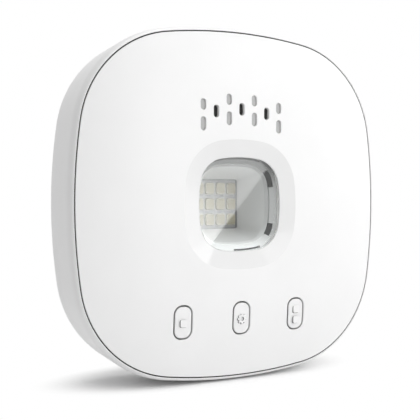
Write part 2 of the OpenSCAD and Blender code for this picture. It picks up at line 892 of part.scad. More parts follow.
module wall_bracket() {
    rim_d = wall_hole_d + 2 * wall_hole_rim;
    color("lightgray") upright() difference() {
        union() {
            block([0, 0], [bracket_w, bracket_h], 0, plate_t);
            for (side = [-1, 1]) {
                block([side * (bracket_w - rail_t) / 2, 0], [rail_t, bracket_h], 0, tab_top);
                for (end = [-1, 1]) {
                    tab_w = rail_t + tab_reach;
                    tab_x = bracket_w / 2 + tab_reach - tab_w / 2;
                    block([side * tab_x, end * tab_y], [tab_w, tab_l], tab_z, tab_t);
                }
                translate([0, side * wall_hole_pitch / 2, 0])
                    cylinder(d = rim_d, h = plate_t + wall_hole_rise);
            }
        }
        for (side = [-1, 1]) {
            translate([0, side * wall_hole_pitch / 2, -joint]) cylinder(d = wall_hole_d, h = far);
        }
    }
}

front_cover();
rear_housing();
seam_seal();
window_lens();
light_reflector();
led_board();
led_emitters();
led_board_screws();
left_button();
centre_button();
right_button();
left_switch_plunger();
centre_switch_plunger();
right_switch_plunger();
switch_bodies();
main_board();
wifi_module();
processor_chip();
door_radio();
door_radio_antenna();
capacitors();
power_coil();
grille_insert();
sound_mesh();
sounder_housing();
sounder_disc();
power_inlet();
board_screws();
case_screws();
wall_bracket();
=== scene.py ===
"""Looks of a garage door controller: a white rounded-square hub that hangs on a wall bracket.

Pieces are drawn in face coordinates, in millimetres: x to the right, y up the face and z out of the wall.
"""

import math
from functools import partial

import bmesh
import bpy
from mathutils import Matrix, Vector
from mathutils.geometry import delaunay_2d_cdt

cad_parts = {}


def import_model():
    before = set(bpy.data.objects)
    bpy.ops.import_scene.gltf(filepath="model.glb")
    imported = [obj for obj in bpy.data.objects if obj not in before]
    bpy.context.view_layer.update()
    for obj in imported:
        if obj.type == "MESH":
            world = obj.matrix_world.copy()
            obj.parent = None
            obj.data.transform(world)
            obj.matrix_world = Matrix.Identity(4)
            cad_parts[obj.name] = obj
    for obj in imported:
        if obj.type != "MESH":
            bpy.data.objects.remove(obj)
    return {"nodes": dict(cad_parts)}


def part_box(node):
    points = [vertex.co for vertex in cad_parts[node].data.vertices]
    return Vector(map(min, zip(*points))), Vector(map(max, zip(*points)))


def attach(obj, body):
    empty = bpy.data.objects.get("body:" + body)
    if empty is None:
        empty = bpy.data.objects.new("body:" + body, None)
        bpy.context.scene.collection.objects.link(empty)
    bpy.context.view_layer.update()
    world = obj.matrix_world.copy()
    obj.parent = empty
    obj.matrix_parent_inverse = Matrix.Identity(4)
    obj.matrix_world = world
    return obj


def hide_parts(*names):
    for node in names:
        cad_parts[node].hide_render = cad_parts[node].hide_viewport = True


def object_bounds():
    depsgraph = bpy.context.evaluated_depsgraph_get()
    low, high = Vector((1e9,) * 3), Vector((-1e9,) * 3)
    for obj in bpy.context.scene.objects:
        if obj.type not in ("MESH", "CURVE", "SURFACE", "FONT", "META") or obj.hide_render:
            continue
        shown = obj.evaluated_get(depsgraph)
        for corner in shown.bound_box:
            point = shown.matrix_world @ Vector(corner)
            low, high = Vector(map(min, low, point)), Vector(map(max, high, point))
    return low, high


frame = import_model()
cad_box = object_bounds()

MM = 0.001
QUARTER = math.pi / 2
# Play between pieces that fit into each other
PLAY = 0.05
# Directions out of a flat front and a flat back
UP = (0, 0, 1)
DOWN = (0, 0, -1)
SQUARE = ((-1, -1), (1, -1), (1, 1), (-1, 1))


def span(node):
    """A node's box in face coordinates: its x, y and z limits in millimetres."""
    low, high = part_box(node)
    return (low.x / MM, high.x / MM), (low.z / MM, high.z / MM), (-high.y / MM, -low.y / MM)


def world(point):
    """A place or direction in the frame's axes, from face coordinates."""
    return Vector((point[0], -point[2], point[1]))


# Outlines and the front surface


class RoundedSquare:
    """A square with bowed sides and round corners: four side arcs and four corner arcs that meet smoothly."""

    def __init__(self, width, bow_r, corner_r, steps):
        self.bow_r = bow_r
        self.corner_r = corner_r
        self.steps = steps
        self.side = bow_r - width / 2
        reach = bow_r - corner_r
        self.corner = (math.sqrt(2 * reach ** 2 - self.side ** 2) - self.side) / 2
        self.half = math.atan2(self.corner, self.corner + self.side)

    def angle_at(self, quarter, along):
        """Direction of the outward normal at a distance along the outline from the middle of a side."""
        side = self.bow_r * self.half
        local = abs(along) / self.bow_r
        if abs(along) > side:
            local = self.half + (abs(along) - side) / self.corner_r
        return quarter * QUARTER + math.copysign(local, along)

    def angles(self, count):
        """Directions of the outward normal at places that lie evenly along the outline."""
        eighth = self.bow_r * self.half + self.corner_r * (QUARTER / 2 - self.half)
        steps = count // 4
        return [
            self.angle_at(index // steps, (2 * (index % steps) / steps - 1) * eighth)
            for index in range(count)
        ]

    def point(self, angle, inset):
        """The place on the outline, drawn in by an inset, where the outward normal has that direction."""
        turn = round(angle / QUARTER)
        local = angle - turn * QUARTER
        if abs(local) <= self.half:
            x = (self.bow_r - inset) * math.cos(local) - self.side
            y = (self.bow_r - inset) * math.sin(local)
        else:
            x = self.corner + (self.corner_r - inset) * math.cos(local)
            y = math.copysign(self.corner, local) + (self.corner_r - inset) * math.sin(local)
        cos, sin = math.cos(turn * QUARTER), math.sin(turn * QUARTER)
        return cos * x - sin * y, sin * x + cos * y

    def inset_at(self, x, y):
        """How far inside the outline a place lies, and the direction straight out from it."""
        long, short = max(abs(x), abs(y)), min(abs(x), abs(y))
        centre = (-self.side, 0.0)
        radius = self.bow_r
        if math.atan2(short, long + self.side) > self.half:
            centre = (self.corner, self.corner)
            radius = self.corner_r
        out = (long - centre[0], short - centre[1])
        reach = math.hypot(*out)
        if abs(x) < abs(y):
            out = (out[1], out[0])
        direction = (math.copysign(out[0], x) / reach, math.copysign(out[1], y) / reach)
        return radius - reach, direction

    def ring(self, shape, inset, z):
        """Adds a ring to a shape along the outline, drawn in by an inset."""
        return shape.ring([self.point(angle, inset) for angle in self.angles(self.steps)], z)

    def rings(self, shape, profile):
        """Adds a ring to a shape for each inset and height of a profile."""
        return [self.ring(shape, inset, z) for inset, z in profile]


SEAM = RoundedSquare(116, 181.6, 35.3, 384)
WINDOW = RoundedSquare(31.6, 50, 9.7, 256)

SEAM_HALF = 58
SEAM_GAP = 0.35
# The side wall bows out from the seam, then draws in towards a round rear edge
BOW_OUT = 1.3
BOW_RUN = 3.6
REAR_EDGE_R = 8
REAR_TAPER = math.atan(0.065)
WALL_T = 2.4
COVER_T = 2.2
SKIRT_T = 1.6
CROWN_RUN = 27
DISH_W = 6.05
DISH_D = 1.0
SEAL_T = 0.6

BOSS_Z, FRONT_Z = span("front_cover")[2]
BACK_Z, SEAM_Z = span("rear_housing")[2]
REBATE_Z = span("seam_seal")[2][0]
SKIRT_Z = REBATE_Z + SEAL_T
COVER_BACK = FRONT_Z - COVER_T
WINDOW_Z = FRONT_Z - DISH_D
FLOOR_Z = BACK_Z + WALL_T
CROWN_H = FRONT_Z - SEAM_Z
CROWN_R = (CROWN_RUN ** 2 + CROWN_H ** 2) / (2 * CROWN_H)
CROWN_INSET = SEAM_GAP + CROWN_RUN


def crown(inset, depth=0.0):
    """Height of the front surface, or of one that lies a depth under it, at an inset from the seam."""
    run = max(0.0, CROWN_INSET - inset)
    return FRONT_Z - CROWN_R + math.sqrt((CROWN_R - depth) ** 2 - run ** 2)


def face_z(x, y, depth=0.0):
    return crown(SEAM.inset_at(x, y)[0], depth)


def face_normal(x, y):
    """The direction straight out of the front surface."""
    inset, out = SEAM.inset_at(x, y)
    lean = max(0.0, CROWN_INSET - inset) / CROWN_R
    return out[0] * lean, out[1] * lean, math.sqrt(1 - lean ** 2)


def polar(centre, radius, angle):
    """The place at a distance from a centre, in a direction."""
    return centre[0] + radius * math.cos(angle), centre[1] + radius * math.sin(angle)


def between(start, end, steps):
    """Evenly spaced places between two others, without them."""
    return [
        tuple(a + (b - a) * step / steps for a, b in zip(start, end))
        for step in range(1, steps)
    ]


def pill(centre, width, height, radius, grow=0.0, arc_steps=8, side_steps=4):
    """Outline of an upright rectangle with round corners, drawn out by grow."""
    arcs = []
    for quarter, (side, end) in enumerate(((1, 1), (-1, 1), (-1, -1), (1, -1))):
        corner = (centre[0] + side * (width / 2 - radius), centre[1] + end * (height / 2 - radius))
        angles = [(quarter + step / arc_steps) * QUARTER for step in range(arc_steps + 1)]
        arcs.append([polar(corner, radius + grow, angle) for angle in angles])
    found = []
    for arc, after in zip(arcs, arcs[1:] + arcs[:1]):
        meet = math.dist(arc[-1], after[0]) < 1e-6
        found += arc[:-1] if meet else arc + between(arc[-1], after[0], side_steps)
    return found


def circle(centre, radius, grow=0.0, steps=32):
    return [polar(centre, radius + grow, 4 * QUARTER * step / steps) for step in range(steps)]


def beside_pill(place, centre, width, height, radius):
    """Distance of a place from the outline of a pill, negative inside it."""
    x = max(0.0, abs(place[0] - centre[0]) - width / 2 + radius)
    y = max(0.0, abs(place[1] - centre[1]) - height / 2 + radius)
    return math.hypot(x, y) - radius


def quarter_round(radius, steps):
    """The steps of a rounded edge, from the end face on: how far each lies in from the side and from the
    end."""
    angles = [step / steps * QUARTER for step in range(steps + 1)]
    return [(radius * (1 - math.sin(angle)), radius * (1 - math.cos(angle))) for angle in angles]


def four_corners(x, y):
    """Four places that lie alike on both sides of the middle, and above and below it."""
    return [(side * x, end * y) for side in (-1, 1) for end in (-1, 1)]


# Meshes

PLATE_EDGE_R = 0.1
SHARP = math.radians(35)
# How well a face has to agree with a given direction to be shaded by it
NORMAL_MATCH = 0.7


def add_object(name, data):
    """A new object in the scene."""
    made = bpy.data.objects.new(name, data)
    bpy.context.scene.collection.objects.link(made)
    return made


def smooth(mesh):
    """Shades a mesh smoothly, apart from its sharp edges."""
    mesh.shade_smooth()
    mesh.set_sharp_from_angle(angle=SHARP)


def holds(ring, triangle):
    """Whether a closed ring has the middle of a triangle inside it."""
    x = sum(corner[0] for corner in triangle) / 3
    y = sum(corner[1] for corner in triangle) / 3
    inside = False
    for (x1, y1, _), (x2, y2, _) in zip(ring, ring[1:] + ring[:1]):
        if (y1 > y) != (y2 > y) and x < x1 + (y - y1) / (y2 - y1) * (x2 - x1):
            inside = not inside
    return inside


class Shape:
    """Rings of points in face coordinates, and the faces between them."""

    def __init__(self):
        self.points = []
        self.faces = []
        self.normals = {}
        self.slots = []
        self.slot = 0

    def add(self, points):
        """Adds points, and gives back their numbers."""
        start = len(self.points)
        self.points += points
        return list(range(start, len(self.points)))

    def ring(self, places, z):
        """Adds a closed ring of places at a height, or at the height that a function gives for each."""
        return self.add([(x, y, z(x, y) if callable(z) else z) for x, y in places])

    def face(self, corners):
        self.faces.append(corners)
        self.slots.append(self.slot)

    def bridge(self, one, other):
        """Joins two rings of as many points with quads."""
        for index in range(len(one)):
            after = (index + 1) % len(one)
            self.face([one[index], one[after], other[after], other[index]])

    def loft(self, rings, slot=0):
        """Joins each ring to the next, with faces of a material slot."""
        self.slot = slot
        for one, other in zip(rings, rings[1:]):
            self.bridge(one, other)
        self.slot = 0

    def capped(self, rings):
        """Joins each ring to the next, and closes both ends with a flat face."""
        self.loft(rings)
        self.face(rings[0])
        self.face(rings[-1])

    def turned(self, centre, profile, steps=32):
        """Adds rings round a place, from a list of radius and height."""
        return [self.ring(circle(centre, radius, steps=steps), z) for radius, z in profile]

    def fill(self, loops, spare=(), normal=None, slot=0):
        """Fills the area inside the first closed ring and outside the others, with spare points inside it.
        The normal is a direction, or a function that gives it for each place."""
        used = [index for loop in loops for index in loop] + self.add(spare)
        owner = {index: number for number, loop in enumerate(loops) for index in loop}
        flat = [Vector(self.points[index][:2]) for index in used]
        edges = []
        base = 0
        for loop in loops:
            edges += [(base + step, base + (step + 1) % len(loop)) for step in range(len(loop))]
            base += len(loop)
        _, _, triangles, sources, _, _ = delaunay_2d_cdt(flat, edges, [], 1, 1e-7)
        self.slot = slot
        for triangle in triangles:
            corners = [used[sources[corner][0]] for corner in triangle]
            rings = {owner.get(corner) for corner in corners}
            if len(rings) == 1 and None not in rings:
                number = rings.pop()
                ring = [self.points[index] for index in loops[number]]
                if holds(ring, [self.points[corner] for corner in corners]) != (number == 0):
                    continue
            self.face(corners)
        self.slot = 0
        if normal:
            for index in used:
                self.normals[index] = normal(*self.points[index][:2]) if callable(normal) else normal

    def plugged(self, rings, low=None, high=None, slot=0):
        """Joins each ring to the next, and fills both ends. They may have normals, and the last a slot."""
        self.loft(rings)
        self.fill([rings[0]], normal=low)
        self.fill([rings[-1]], normal=high, slot=slot)

    def slab(self, outer, low, high, round_r, holes=()):
        """A plate with rounded edges. Its outline and holes are functions of how far they are drawn out."""
        levels = [(inset, low + rise) for inset, rise in quarter_round(round_r, 3)]
        levels += [(inset, low + high - z) for inset, z in reversed(levels)]
        ends = []
        for sign, outline in [(-1, outer)] + [(1, hole) for hole in holes]:
            rings = [self.ring(outline(sign * inset), z) for inset, z in levels]
            self.loft(rings)
            ends.append((rings[0], rings[-1]))
        self.fill([first for first, _ in ends], normal=DOWN)
        self.fill([last for _, last in ends], normal=UP)

    def solid(self, name):
        """A closed mesh of the shape, with its faces turned outwards."""
        mesh = bpy.data.meshes.new(name)
        mesh.from_pydata([world(point) * MM for point in self.points], [], self.faces)
        for polygon, index in zip(mesh.polygons, self.slots):
            polygon.material_index = index
        closed = bmesh.new()
        closed.from_mesh(mesh)
        bmesh.ops.recalc_face_normals(closed, faces=closed.faces)
        closed.to_mesh(mesh)
        closed.free()
        return mesh

    def build(self, name, materials, body, stands_for=()):
        """The finished piece: a closed mesh that rides on a body."""
        mesh = self.solid(name)
        smooth(mesh)
        if self.normals:
            found = {index: world(normal) for index, normal in self.normals.items()}
            own = [Vector((0, 0, 0))] * len(mesh.loops)
            for polygon in mesh.polygons:
                for corner, index in zip(polygon.loop_indices, polygon.vertices):
                    if index in found and found[index].dot(polygon.normal) > NORMAL_MATCH:
                        own[corner] = found[index]
            mesh.normals_split_custom_set(own)
        for material in materials:
            mesh.materials.append(material)
        piece = add_object(name, mesh)
        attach(piece, body)
        if stands_for:
            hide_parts(*stands_for)
        return piece


def cut(piece, cutters):
    """Cuts closed shapes out of a piece."""
    tools = []
    for shape in cutters:
        tool = add_object("cutter", shape.solid("cutter"))
        step = piece.modifiers.new("cut", "BOOLEAN")
        step.operation = "DIFFERENCE"
        step.solver = "EXACT"
        step.object = tool
        tools.append(tool)
    bpy.context.view_layer.update()
    whole = bpy.data.meshes.new_from_object(piece.evaluated_get(bpy.context.evaluated_depsgraph_get()))
    piece.modifiers.clear()
    piece.data = whole
    for tool in tools:
        bpy.data.objects.remove(tool)
    smooth(whole)
    even = piece.modifiers.new("even_shading", "WEIGHTED_NORMAL")
    even.keep_sharp = True


# Materials


class Nodes:
    """The nodes of a new material or world."""

    def __init__(self, owner):
        self.owner = owner
        owner.use_nodes = True
        self.tree = owner.node_tree

    def add(self, kind, source=None, **settings):
        """Adds a node with its settings and socket values, and links a source to its first socket."""
        node = self.tree.nodes.new(kind)
        for name, value in settings.items():
            if hasattr(node, name):
                setattr(node, name, value)
            else:
                node.inputs[name.replace("_", " ")].default_value = value
        if source is not None:
            self.link(source, node, 0)
        return node

    def link(self, source, node, socket):
        """Links an output, or the first output of a node, to a socket of a node."""
        if isinstance(source, bpy.types.Node):
            source = source.outputs[0]
        self.tree.links.new(source, node.inputs[socket])

    def mix(self, factor, one, other):
        """A shader that goes from one to the other as a factor goes from zero to one."""
        node = self.add("ShaderNodeMixShader", factor)
        self.link(one, node, 1)
        self.link(other, node, 2)
        return node

    def seen_directly(self):
        """One for what the camera sees, also in gloss and through glass, and zero for light that bounces."""
        path = self.add("ShaderNodeLightPath")
        found = path.outputs["Is Camera Ray"]
        for kind in ("Is Glossy Ray", "Is Transmission Ray"):
            found = self.add("ShaderNodeMath", found, operation="MAXIMUM")
            self.link(path.outputs[kind], found, 1)
        return found


class Finish(Nodes):
    """A material with a Principled shader, whose patterns read the piece's own coordinates in metres."""

    def __init__(self, name, **constants):
        super().__init__(bpy.data.materials.new(name))
        self.shader = self.tree.nodes["Principled BSDF"]
        for socket, value in constants.items():
            self.shader.inputs[socket.replace("_", " ")].default_value = value
        self.places = self.add("ShaderNodeTexCoord").outputs["Object"]

    def noise(self, per_metre, detail=3.0, stretch=None):
        """A soft random pattern with that many blotches a metre."""
        places = self.places
        if stretch:
            places = self.add("ShaderNodeMapping", places, Scale=stretch)
        return self.add("ShaderNodeTexNoise", places, Scale=per_metre, Detail=detail)

    def colours(self, pattern, low, high, start=0.35, end=0.65):
        """Colours the surface between two colours along a pattern."""
        self.ramp(pattern, [(start, low), (end, high)])

    def ramp(self, pattern, stops):
        """Colours the surface along a pattern, from a list of positions and colours."""
        ramp = self.add("ShaderNodeValToRGB", pattern)
        points = ramp.color_ramp.elements
        while len(points) < len(stops):
            points.new(1.0)
        for point, (position, colour) in zip(points, stops):
            point.position = position
            point.color = (*colour, 1)
        self.link(ramp, self.shader, "Base Color")

    def roughness(self, pattern, low, high):
        spread = self.add("ShaderNodeMapRange", pattern, To_Min=low, To_Max=high)
        self.link(spread, self.shader, "Roughness")

    def relief(self, pattern, height):
        """Raises the surface by a height in metres along a pattern."""
        bump = self.add("ShaderNodeBump", Strength=1.0, Distance=height)
        self.link(pattern, bump, "Height")
        self.link(bump, self.shader, "Normal")

    def show(self, shader):
        """Shows another shader than the material's own."""
        self.link(shader, self.tree.nodes["Material Output"], "Surface")


# Blotches a metre, and detail, of the tone, the gloss and the grain of moulded plastic
PLASTIC = ((45, 2.0), (240, 4.0), (2600, 2.0))


def moulded(name, low, high, rough, depth=6e-6, patterns=PLASTIC, **constants):
    """Moulded plastic or paint: a faint tone, uneven gloss and a fine grain."""
    finish = Finish(name, **constants)
    tone, gloss, grain = patterns
    finish.colours(finish.noise(*tone), low, high)
    finish.roughness(finish.noise(*gloss), *rough)
    finish.relief(finish.noise(*grain), depth)
    return finish.owner


def grey(value):
    return value, value, value


WHITE = moulded("white_plastic", grey(0.845), grey(0.86), (0.34, 0.44), IOR=1.46)
POLISHED = moulded("polished_white", grey(0.805), grey(0.815), (0.3, 0.36), 0.0,
                   Specular_IOR_Level=0.0, Coat_Weight=1.0, Coat_Roughness=0.0, Coat_IOR=1.6)
# Near-black hooks in the collar's windows and slits: painted shade of the openings
CLIP_HOOK_SHADE = moulded("dark_clip", grey(0.03), grey(0.045), (0.4, 0.55))
# Dark grey frame round the emitters: painted shade at the foot of the reflector's well
WELL_FOOT_SHADE = moulded("gasket_foam", grey(0.2), grey(0.26), (0.7, 0.9), 2e-5)
# The seal's near-black rubber: partly its own colour, partly painted shade that darkens the seam
SEAL_RUBBER_AND_SHADE = moulded("seal_rubber", grey(0.015), grey(0.025), (0.6, 0.8), 2e-5)
# Dark grey for the buttons' sides and the marks' sides: painted shade of the gaps round the buttons and of
# the marks' edges
KEY_PAINTED_SHADE = moulded("key_side", grey(0.28), grey(0.32), (0.4, 0.5))
REFLECTOR = moulded("reflector_plastic", grey(0.7), grey(0.74), (0.25, 0.35), 3e-6)
GRILLE = moulded("grille_plastic", grey(0.415), grey(0.45), (0.45, 0.6), 1.5e-5)
BLACK = moulded("black_plastic", grey(0.018), grey(0.03), (0.4, 0.6), 1.2e-5)
BRACKET = moulded("bracket_plastic", grey(0.62), grey(0.66), (0.4, 0.55), 1.5e-5)
PALE_FRAME = moulded("emitter_frame", (0.45, 0.43, 0.37), (0.5, 0.48, 0.42), (0.4, 0.5))
LIGHT_BOARD = moulded("light_board", grey(0.3), grey(0.34), (0.35, 0.5), 6e-6,
                      ((500, 3.0), (700, 3.0), (1500, 3.0)))
PHOSPHOR = moulded("phosphor", (0.27, 0.243, 0.157), (0.315, 0.287, 0.19), (0.3, 0.45), 8e-6,
                   ((1800, 2.0), (900, 3.0), (2500, 3.0)), Coat_Weight=0.5, Coat_Roughness=0.12)
SLEEVE = moulded("capacitor_sleeve", (0.02, 0.025, 0.06), (0.04, 0.045, 0.09), (0.3, 0.45), 5e-6,
                 ((300, 3.0), (600, 3.0), (900, 3.0)), Coat_Weight=0.6, Coat_Roughness=0.2)


def brushed(name, low, high, rough, stretch):
    """Metal with fine scratches along one direction."""
    finish = Finish(name, Metallic=1.0)
    lines = finish.noise(900, 4.0, stretch)
    finish.colours(lines, low, high)
    finish.roughness(lines, *rough)
    finish.relief(lines, 4e-6)
    return finish.owner


STEEL = brushed("tinned_steel", (0.52, 0.52, 0.51), (0.68, 0.68, 0.66), (0.28, 0.45), (0.05, 1, 1))
ZINC = brushed("zinc_plate", (0.5, 0.5, 0.5), (0.66, 0.66, 0.67), (0.3, 0.48), (1, 0.1, 1))
BRASS = brushed("spring_brass", (0.6, 0.43, 0.16), (0.78, 0.6, 0.27), (0.25, 0.42), (1, 1, 0.08))


def circuit_board():
    """Green solder mask over copper tracks that run across and up the board."""
    finish = Finish("circuit_board", Coat_Weight=0.4, Coat_Roughness=0.15)
    turned = finish.add("ShaderNodeMapping", finish.places, Rotation=(QUARTER, 0, 0))
    tracks = finish.add(
        "ShaderNodeTexBrick", turned,
        Scale=260.0, Mortar_Size=0.035, Brick_Width=0.9, Row_Height=0.45,
    ).outputs["Fac"]
    finish.colours(tracks, (0.012, 0.11, 0.045), (0.03, 0.2, 0.08), 0.0, 1.0)
    finish.roughness(finish.noise(400), 0.3, 0.45)
    finish.relief(tracks, 2e-5)
    return finish.owner


def cloth():
    """Fine woven acoustic cloth, near-black. As pads in the open slots it is also painted shade of the holes.
    """
    finish = Finish("acoustic_cloth", Sheen_Weight=0.2)
    weave = finish.add("ShaderNodeTexChecker", finish.places, Scale=3200.0).outputs["Fac"]
    finish.colours(weave, grey(0.004), grey(0.014), 0.0, 1.0)
    finish.roughness(finish.noise(800), 0.7, 0.95)
    finish.relief(weave, 3e-5)
    return finish.owner


def collar(name, tones):
    """A band round the reflector's mouth, with its tones from its foot at 0 to its top at 1.
    The tones are painted shade: darker towards the top, where the cover keeps the light off.
    """
    reach = 0.016
    finish = Finish(name)
    height = finish.add("ShaderNodeSeparateXYZ", finish.places).outputs["Z"]
    share = finish.add("ShaderNodeMapRange", height, From_Min=-reach, From_Max=reach)
    finish.ramp(share, [(position, grey(tone)) for position, tone in tones])
    _, gloss, grain = PLASTIC
    finish.roughness(finish.noise(*gloss), 0.3, 0.4)
    finish.relief(finish.noise(*grain), 3e-6)
    return finish.owner


def clear():
    """Clear polished plastic. Lamps shine through it, so what lies behind it is lit."""
    finish = Finish("clear_lens", Base_Color=(0.97, 0.985, 0.98, 1), Transmission_Weight=1.0, IOR=1.49)
    finish.roughness(finish.noise(120), 0.0, 0.02)
    shadow = finish.add("ShaderNodeLightPath").outputs["Is Shadow Ray"]
    through = finish.add("ShaderNodeBsdfTransparent", Color=(0.94, 0.95, 0.95, 1))
    finish.show(finish.mix(shadow, finish.shader, through))
    return finish.owner


BOARD = circuit_board()
CLOTH_AND_SLOT_SHADE = cloth()
# Painted shade on the reflector's collar, groove and step: pale at the foot, dark towards the top
COLLAR_PAINTED_SHADE = collar("reflector_collar", [(0.05, 0.9), (0.2, 0.66), (0.7, 0.62), (0.88, 0.2)])
GROOVE_PAINTED_SHADE = collar("reflector_groove", [(0.1, 0.85), (0.25, 0.38), (0.7, 0.34), (0.88, 0.24)])
STEP_PAINTED_SHADE = collar("reflector_step", [(0.1, 0.85), (0.25, 0.64), (0.7, 0.6), (0.88, 0.42)])
CLEAR = clear()

# Places of the holes in the front cover

BUTTON_PITCH = 22
BUTTON_Y = -38.15
BUTTON_SIZE = (6.9, 11.3, 3.0)
BUTTON_GAP = 0.5
BUTTONS = {"left": -BUTTON_PITCH, "centre": 0, "right": BUTTON_PITCH}
BUTTON_EDGE_R = 0.3

SLOT_W = 1.95
SLOT_PITCH = 4.9
SLOT_ARCH_R = 48
SLOT_Y = 31.8
OPEN_SLOT_H = 4.15
# Rise and height of the slots in the columns that have two
UPPER_SLOT = (3.35, 3.63)
LOWER_SLOT = (-2.95, 4.5)
SLOT_EDGE_R = 0.2


def slot_at(column, rise):
    """The middle of a slot, whose column follows an arch."""
    across = column * SLOT_PITCH
    return across, SLOT_Y + rise + math.sqrt(SLOT_ARCH_R ** 2 - across ** 2) - SLOT_ARCH_R


OPEN_SLOTS = [(slot_at(column, 0.0), OPEN_SLOT_H) for column in (-2, 0, 2)]
FILLED_SLOTS = [
    (slot_at(column, rise), height)
    for column in (-3, -1, 1, 3)
    for rise, height in (UPPER_SLOT, LOWER_SLOT)
]


def slot_outline(slot, grow):
    return pill(slot[0], SLOT_W, slot[1], SLOT_W / 2, grow, side_steps=3)


def button_outline(x, grow):
    return pill((x, BUTTON_Y), *BUTTON_SIZE, grow)


def near_hole(x, y, room):
    """Whether a place on the face lies in a hole, or closer to one than the room given."""
    if WINDOW.inset_at(x, y)[0] > -DISH_W - room:
        return True
    pills = [((at, BUTTON_Y), *BUTTON_SIZE) for at in BUTTONS.values()]
    pills += [(at, SLOT_W, height, SLOT_W / 2) for at, height in OPEN_SLOTS + FILLED_SLOTS]
    return any(beside_pill((x, y), *hole) < room for hole in pills)


# Shells

RIM_R = 0.15
RIM_EASE = 0.08
RIM_LEAN = (CROWN_INSET - SEAM_GAP) / CROWN_R
SKIRT_EASE = 0.2
DISH_BEND = 0.1
DISH_EDGE_R = 0.12
# Points on the face: how far inside the rim they start, how far apart their rows are, where they end, and
# their room beside the holes
FACE_START = 1.0
FACE_STEP = 1.6
FACE_END = 31
FACE_ROOM = 0.9
CASE_SCREW_AT = (33, 33)
CASE_SCREW_R = 1.4
BOSS_WALL = 2.1
BOSS_CLOSED = 0.5
BOSS_GAP = 0.02
POST_TOP = BOSS_Z - PLAY
LIP_SINK = 0.35
LIP_EASE = 0.03


def rounded_hole(shape, outline, edge_r):
    """A hole through the cover with a rounded front edge. Gives its front and back rings."""
    rings = [
        shape.ring(outline(grow), lambda x, y: face_z(x, y) - drop)
        for grow, drop in quarter_round(edge_r, 4)
    ]
    rings.append(shape.ring(outline(0.0), lambda x, y: face_z(x, y, COVER_T)))
    shape.loft(rings)
    return rings[0], rings[-1]


def front_cover():
    """The cover: a rolled-off face with a dished ring round the window, slots, button holes and a skirt."""
    shape = Shape()
    lean = math.asin(RIM_LEAN)
    outside = SEAM_GAP + RIM_EASE
    rim_inset = outside + RIM_R * (1 - RIM_LEAN)
    inside = SEAM_GAP + SKIRT_T
    profile = [
        (inside, crown(inside, COVER_T)), (inside, SKIRT_Z + SKIRT_EASE), (inside - SKIRT_EASE, SKIRT_Z),
        (outside + SKIRT_EASE, SKIRT_Z), (outside, SKIRT_Z + SKIRT_EASE),
    ]
    steps = 5
    for step in range(steps + 1):
        angle = step / steps * (QUARTER - lean)
        z = crown(rim_inset) - RIM_R * (math.cos(lean) - math.sin(angle))
        profile.append((outside + RIM_R * (1 - math.cos(angle)), z))
    rings = SEAM.rings(shape, profile)
    shape.loft(rings)

    slope = DISH_D / DISH_W
    dish_lean = math.atan(slope)
    brim = WINDOW.ring(shape, -DISH_W - DISH_BEND, FRONT_Z)
    cone = [
        WINDOW.ring(shape, inset, FRONT_Z - (inset + DISH_W) * slope)
        for inset in (-DISH_W + DISH_BEND, -DISH_W / 2, -DISH_EDGE_R - DISH_BEND)
    ]
    for ring in cone:
        for index, angle in zip(ring, WINDOW.angles(WINDOW.steps)):
            shape.normals[index] = (*polar((0, 0), -math.sin(dish_lean), angle), math.cos(dish_lean))
    edge = [
        WINDOW.ring(shape, -grow, WINDOW_Z + slope * DISH_EDGE_R - drop)
        for grow, drop in quarter_round(DISH_EDGE_R, 4)
    ]
    opening = WINDOW.ring(shape, 0, COVER_BACK)
    shape.bridge(brim, cone[0])
    shape.loft(cone + edge, slot=1)
    shape.bridge(edge[-1], opening)

    fronts = [rings[-1], brim]
    backs = [rings[0], opening]
    holes = [(partial(slot_outline, slot), SLOT_EDGE_R) for slot in OPEN_SLOTS + FILLED_SLOTS]
    holes += [(partial(button_outline, x), BUTTON_EDGE_R) for x in BUTTONS.values()]
    for outline, edge_r in holes:
        front, back = rounded_hole(shape, outline, edge_r)
        fronts.append(front)
        backs.append(back)

    spare_front = []
    spare_back = []
    inset = rim_inset + FACE_START
    while inset < FACE_END:
        for angle in SEAM.angles(SEAM.steps // 2):
            x, y = SEAM.point(angle, inset)
            if not near_hole(x, y, FACE_ROOM):
                spare_front.append((x, y, crown(inset)))
                if inset > inside + FACE_START:
                    spare_back.append((x, y, crown(inset, COVER_T)))
        inset += FACE_STEP
    shape.fill(fronts, spare_front, face_normal)
    shape.fill(backs, spare_back, lambda x, y: tuple(-part for part in face_normal(x, y)))

    hole_r = CASE_SCREW_R + PLAY
    boss_r = CASE_SCREW_R + BOSS_WALL
    for at in four_corners(*CASE_SCREW_AT):
        top = face_z(*at, COVER_T) - BOSS_GAP
        profile = [(hole_r, top - BOSS_CLOSED), (hole_r, BOSS_Z), (boss_r, BOSS_Z), (boss_r, top)]
        shape.capped(shape.turned(at, profile))
    shape.build("front_cover_shell", [WHITE, POLISHED], "hub", ["front_cover"])


RECESS_HALF = 25.3
RECESS_Y = (-43.0, 28.3)
RECESS_Z = 6.0
RECESS_BLOCK_R = 3.0
LIP_T = 1.6
LIP_REACH = 3.5
LIP_Y = 20.5
LIP_L = 11
POST_SEAT = 11.0
POST_WALL = 1.2
# The mouth of a screw hole widens by this much, and by less half way
POST_MOUTH = (0.4, 0.12)
HEAD_R = 2.8
HEAD_PLAY = 0.3
BOARD_SCREW_AT = (44, 14)
BOARD_POST_R = 2.9
BOARD_SCREW_R = 1.1
BOARD_Z = 9.8
INLET_Z = 15.9
INLET_NOSE_R = 3.5
INLET_CUT = 3
SEAM_EDGE_R = 0.15


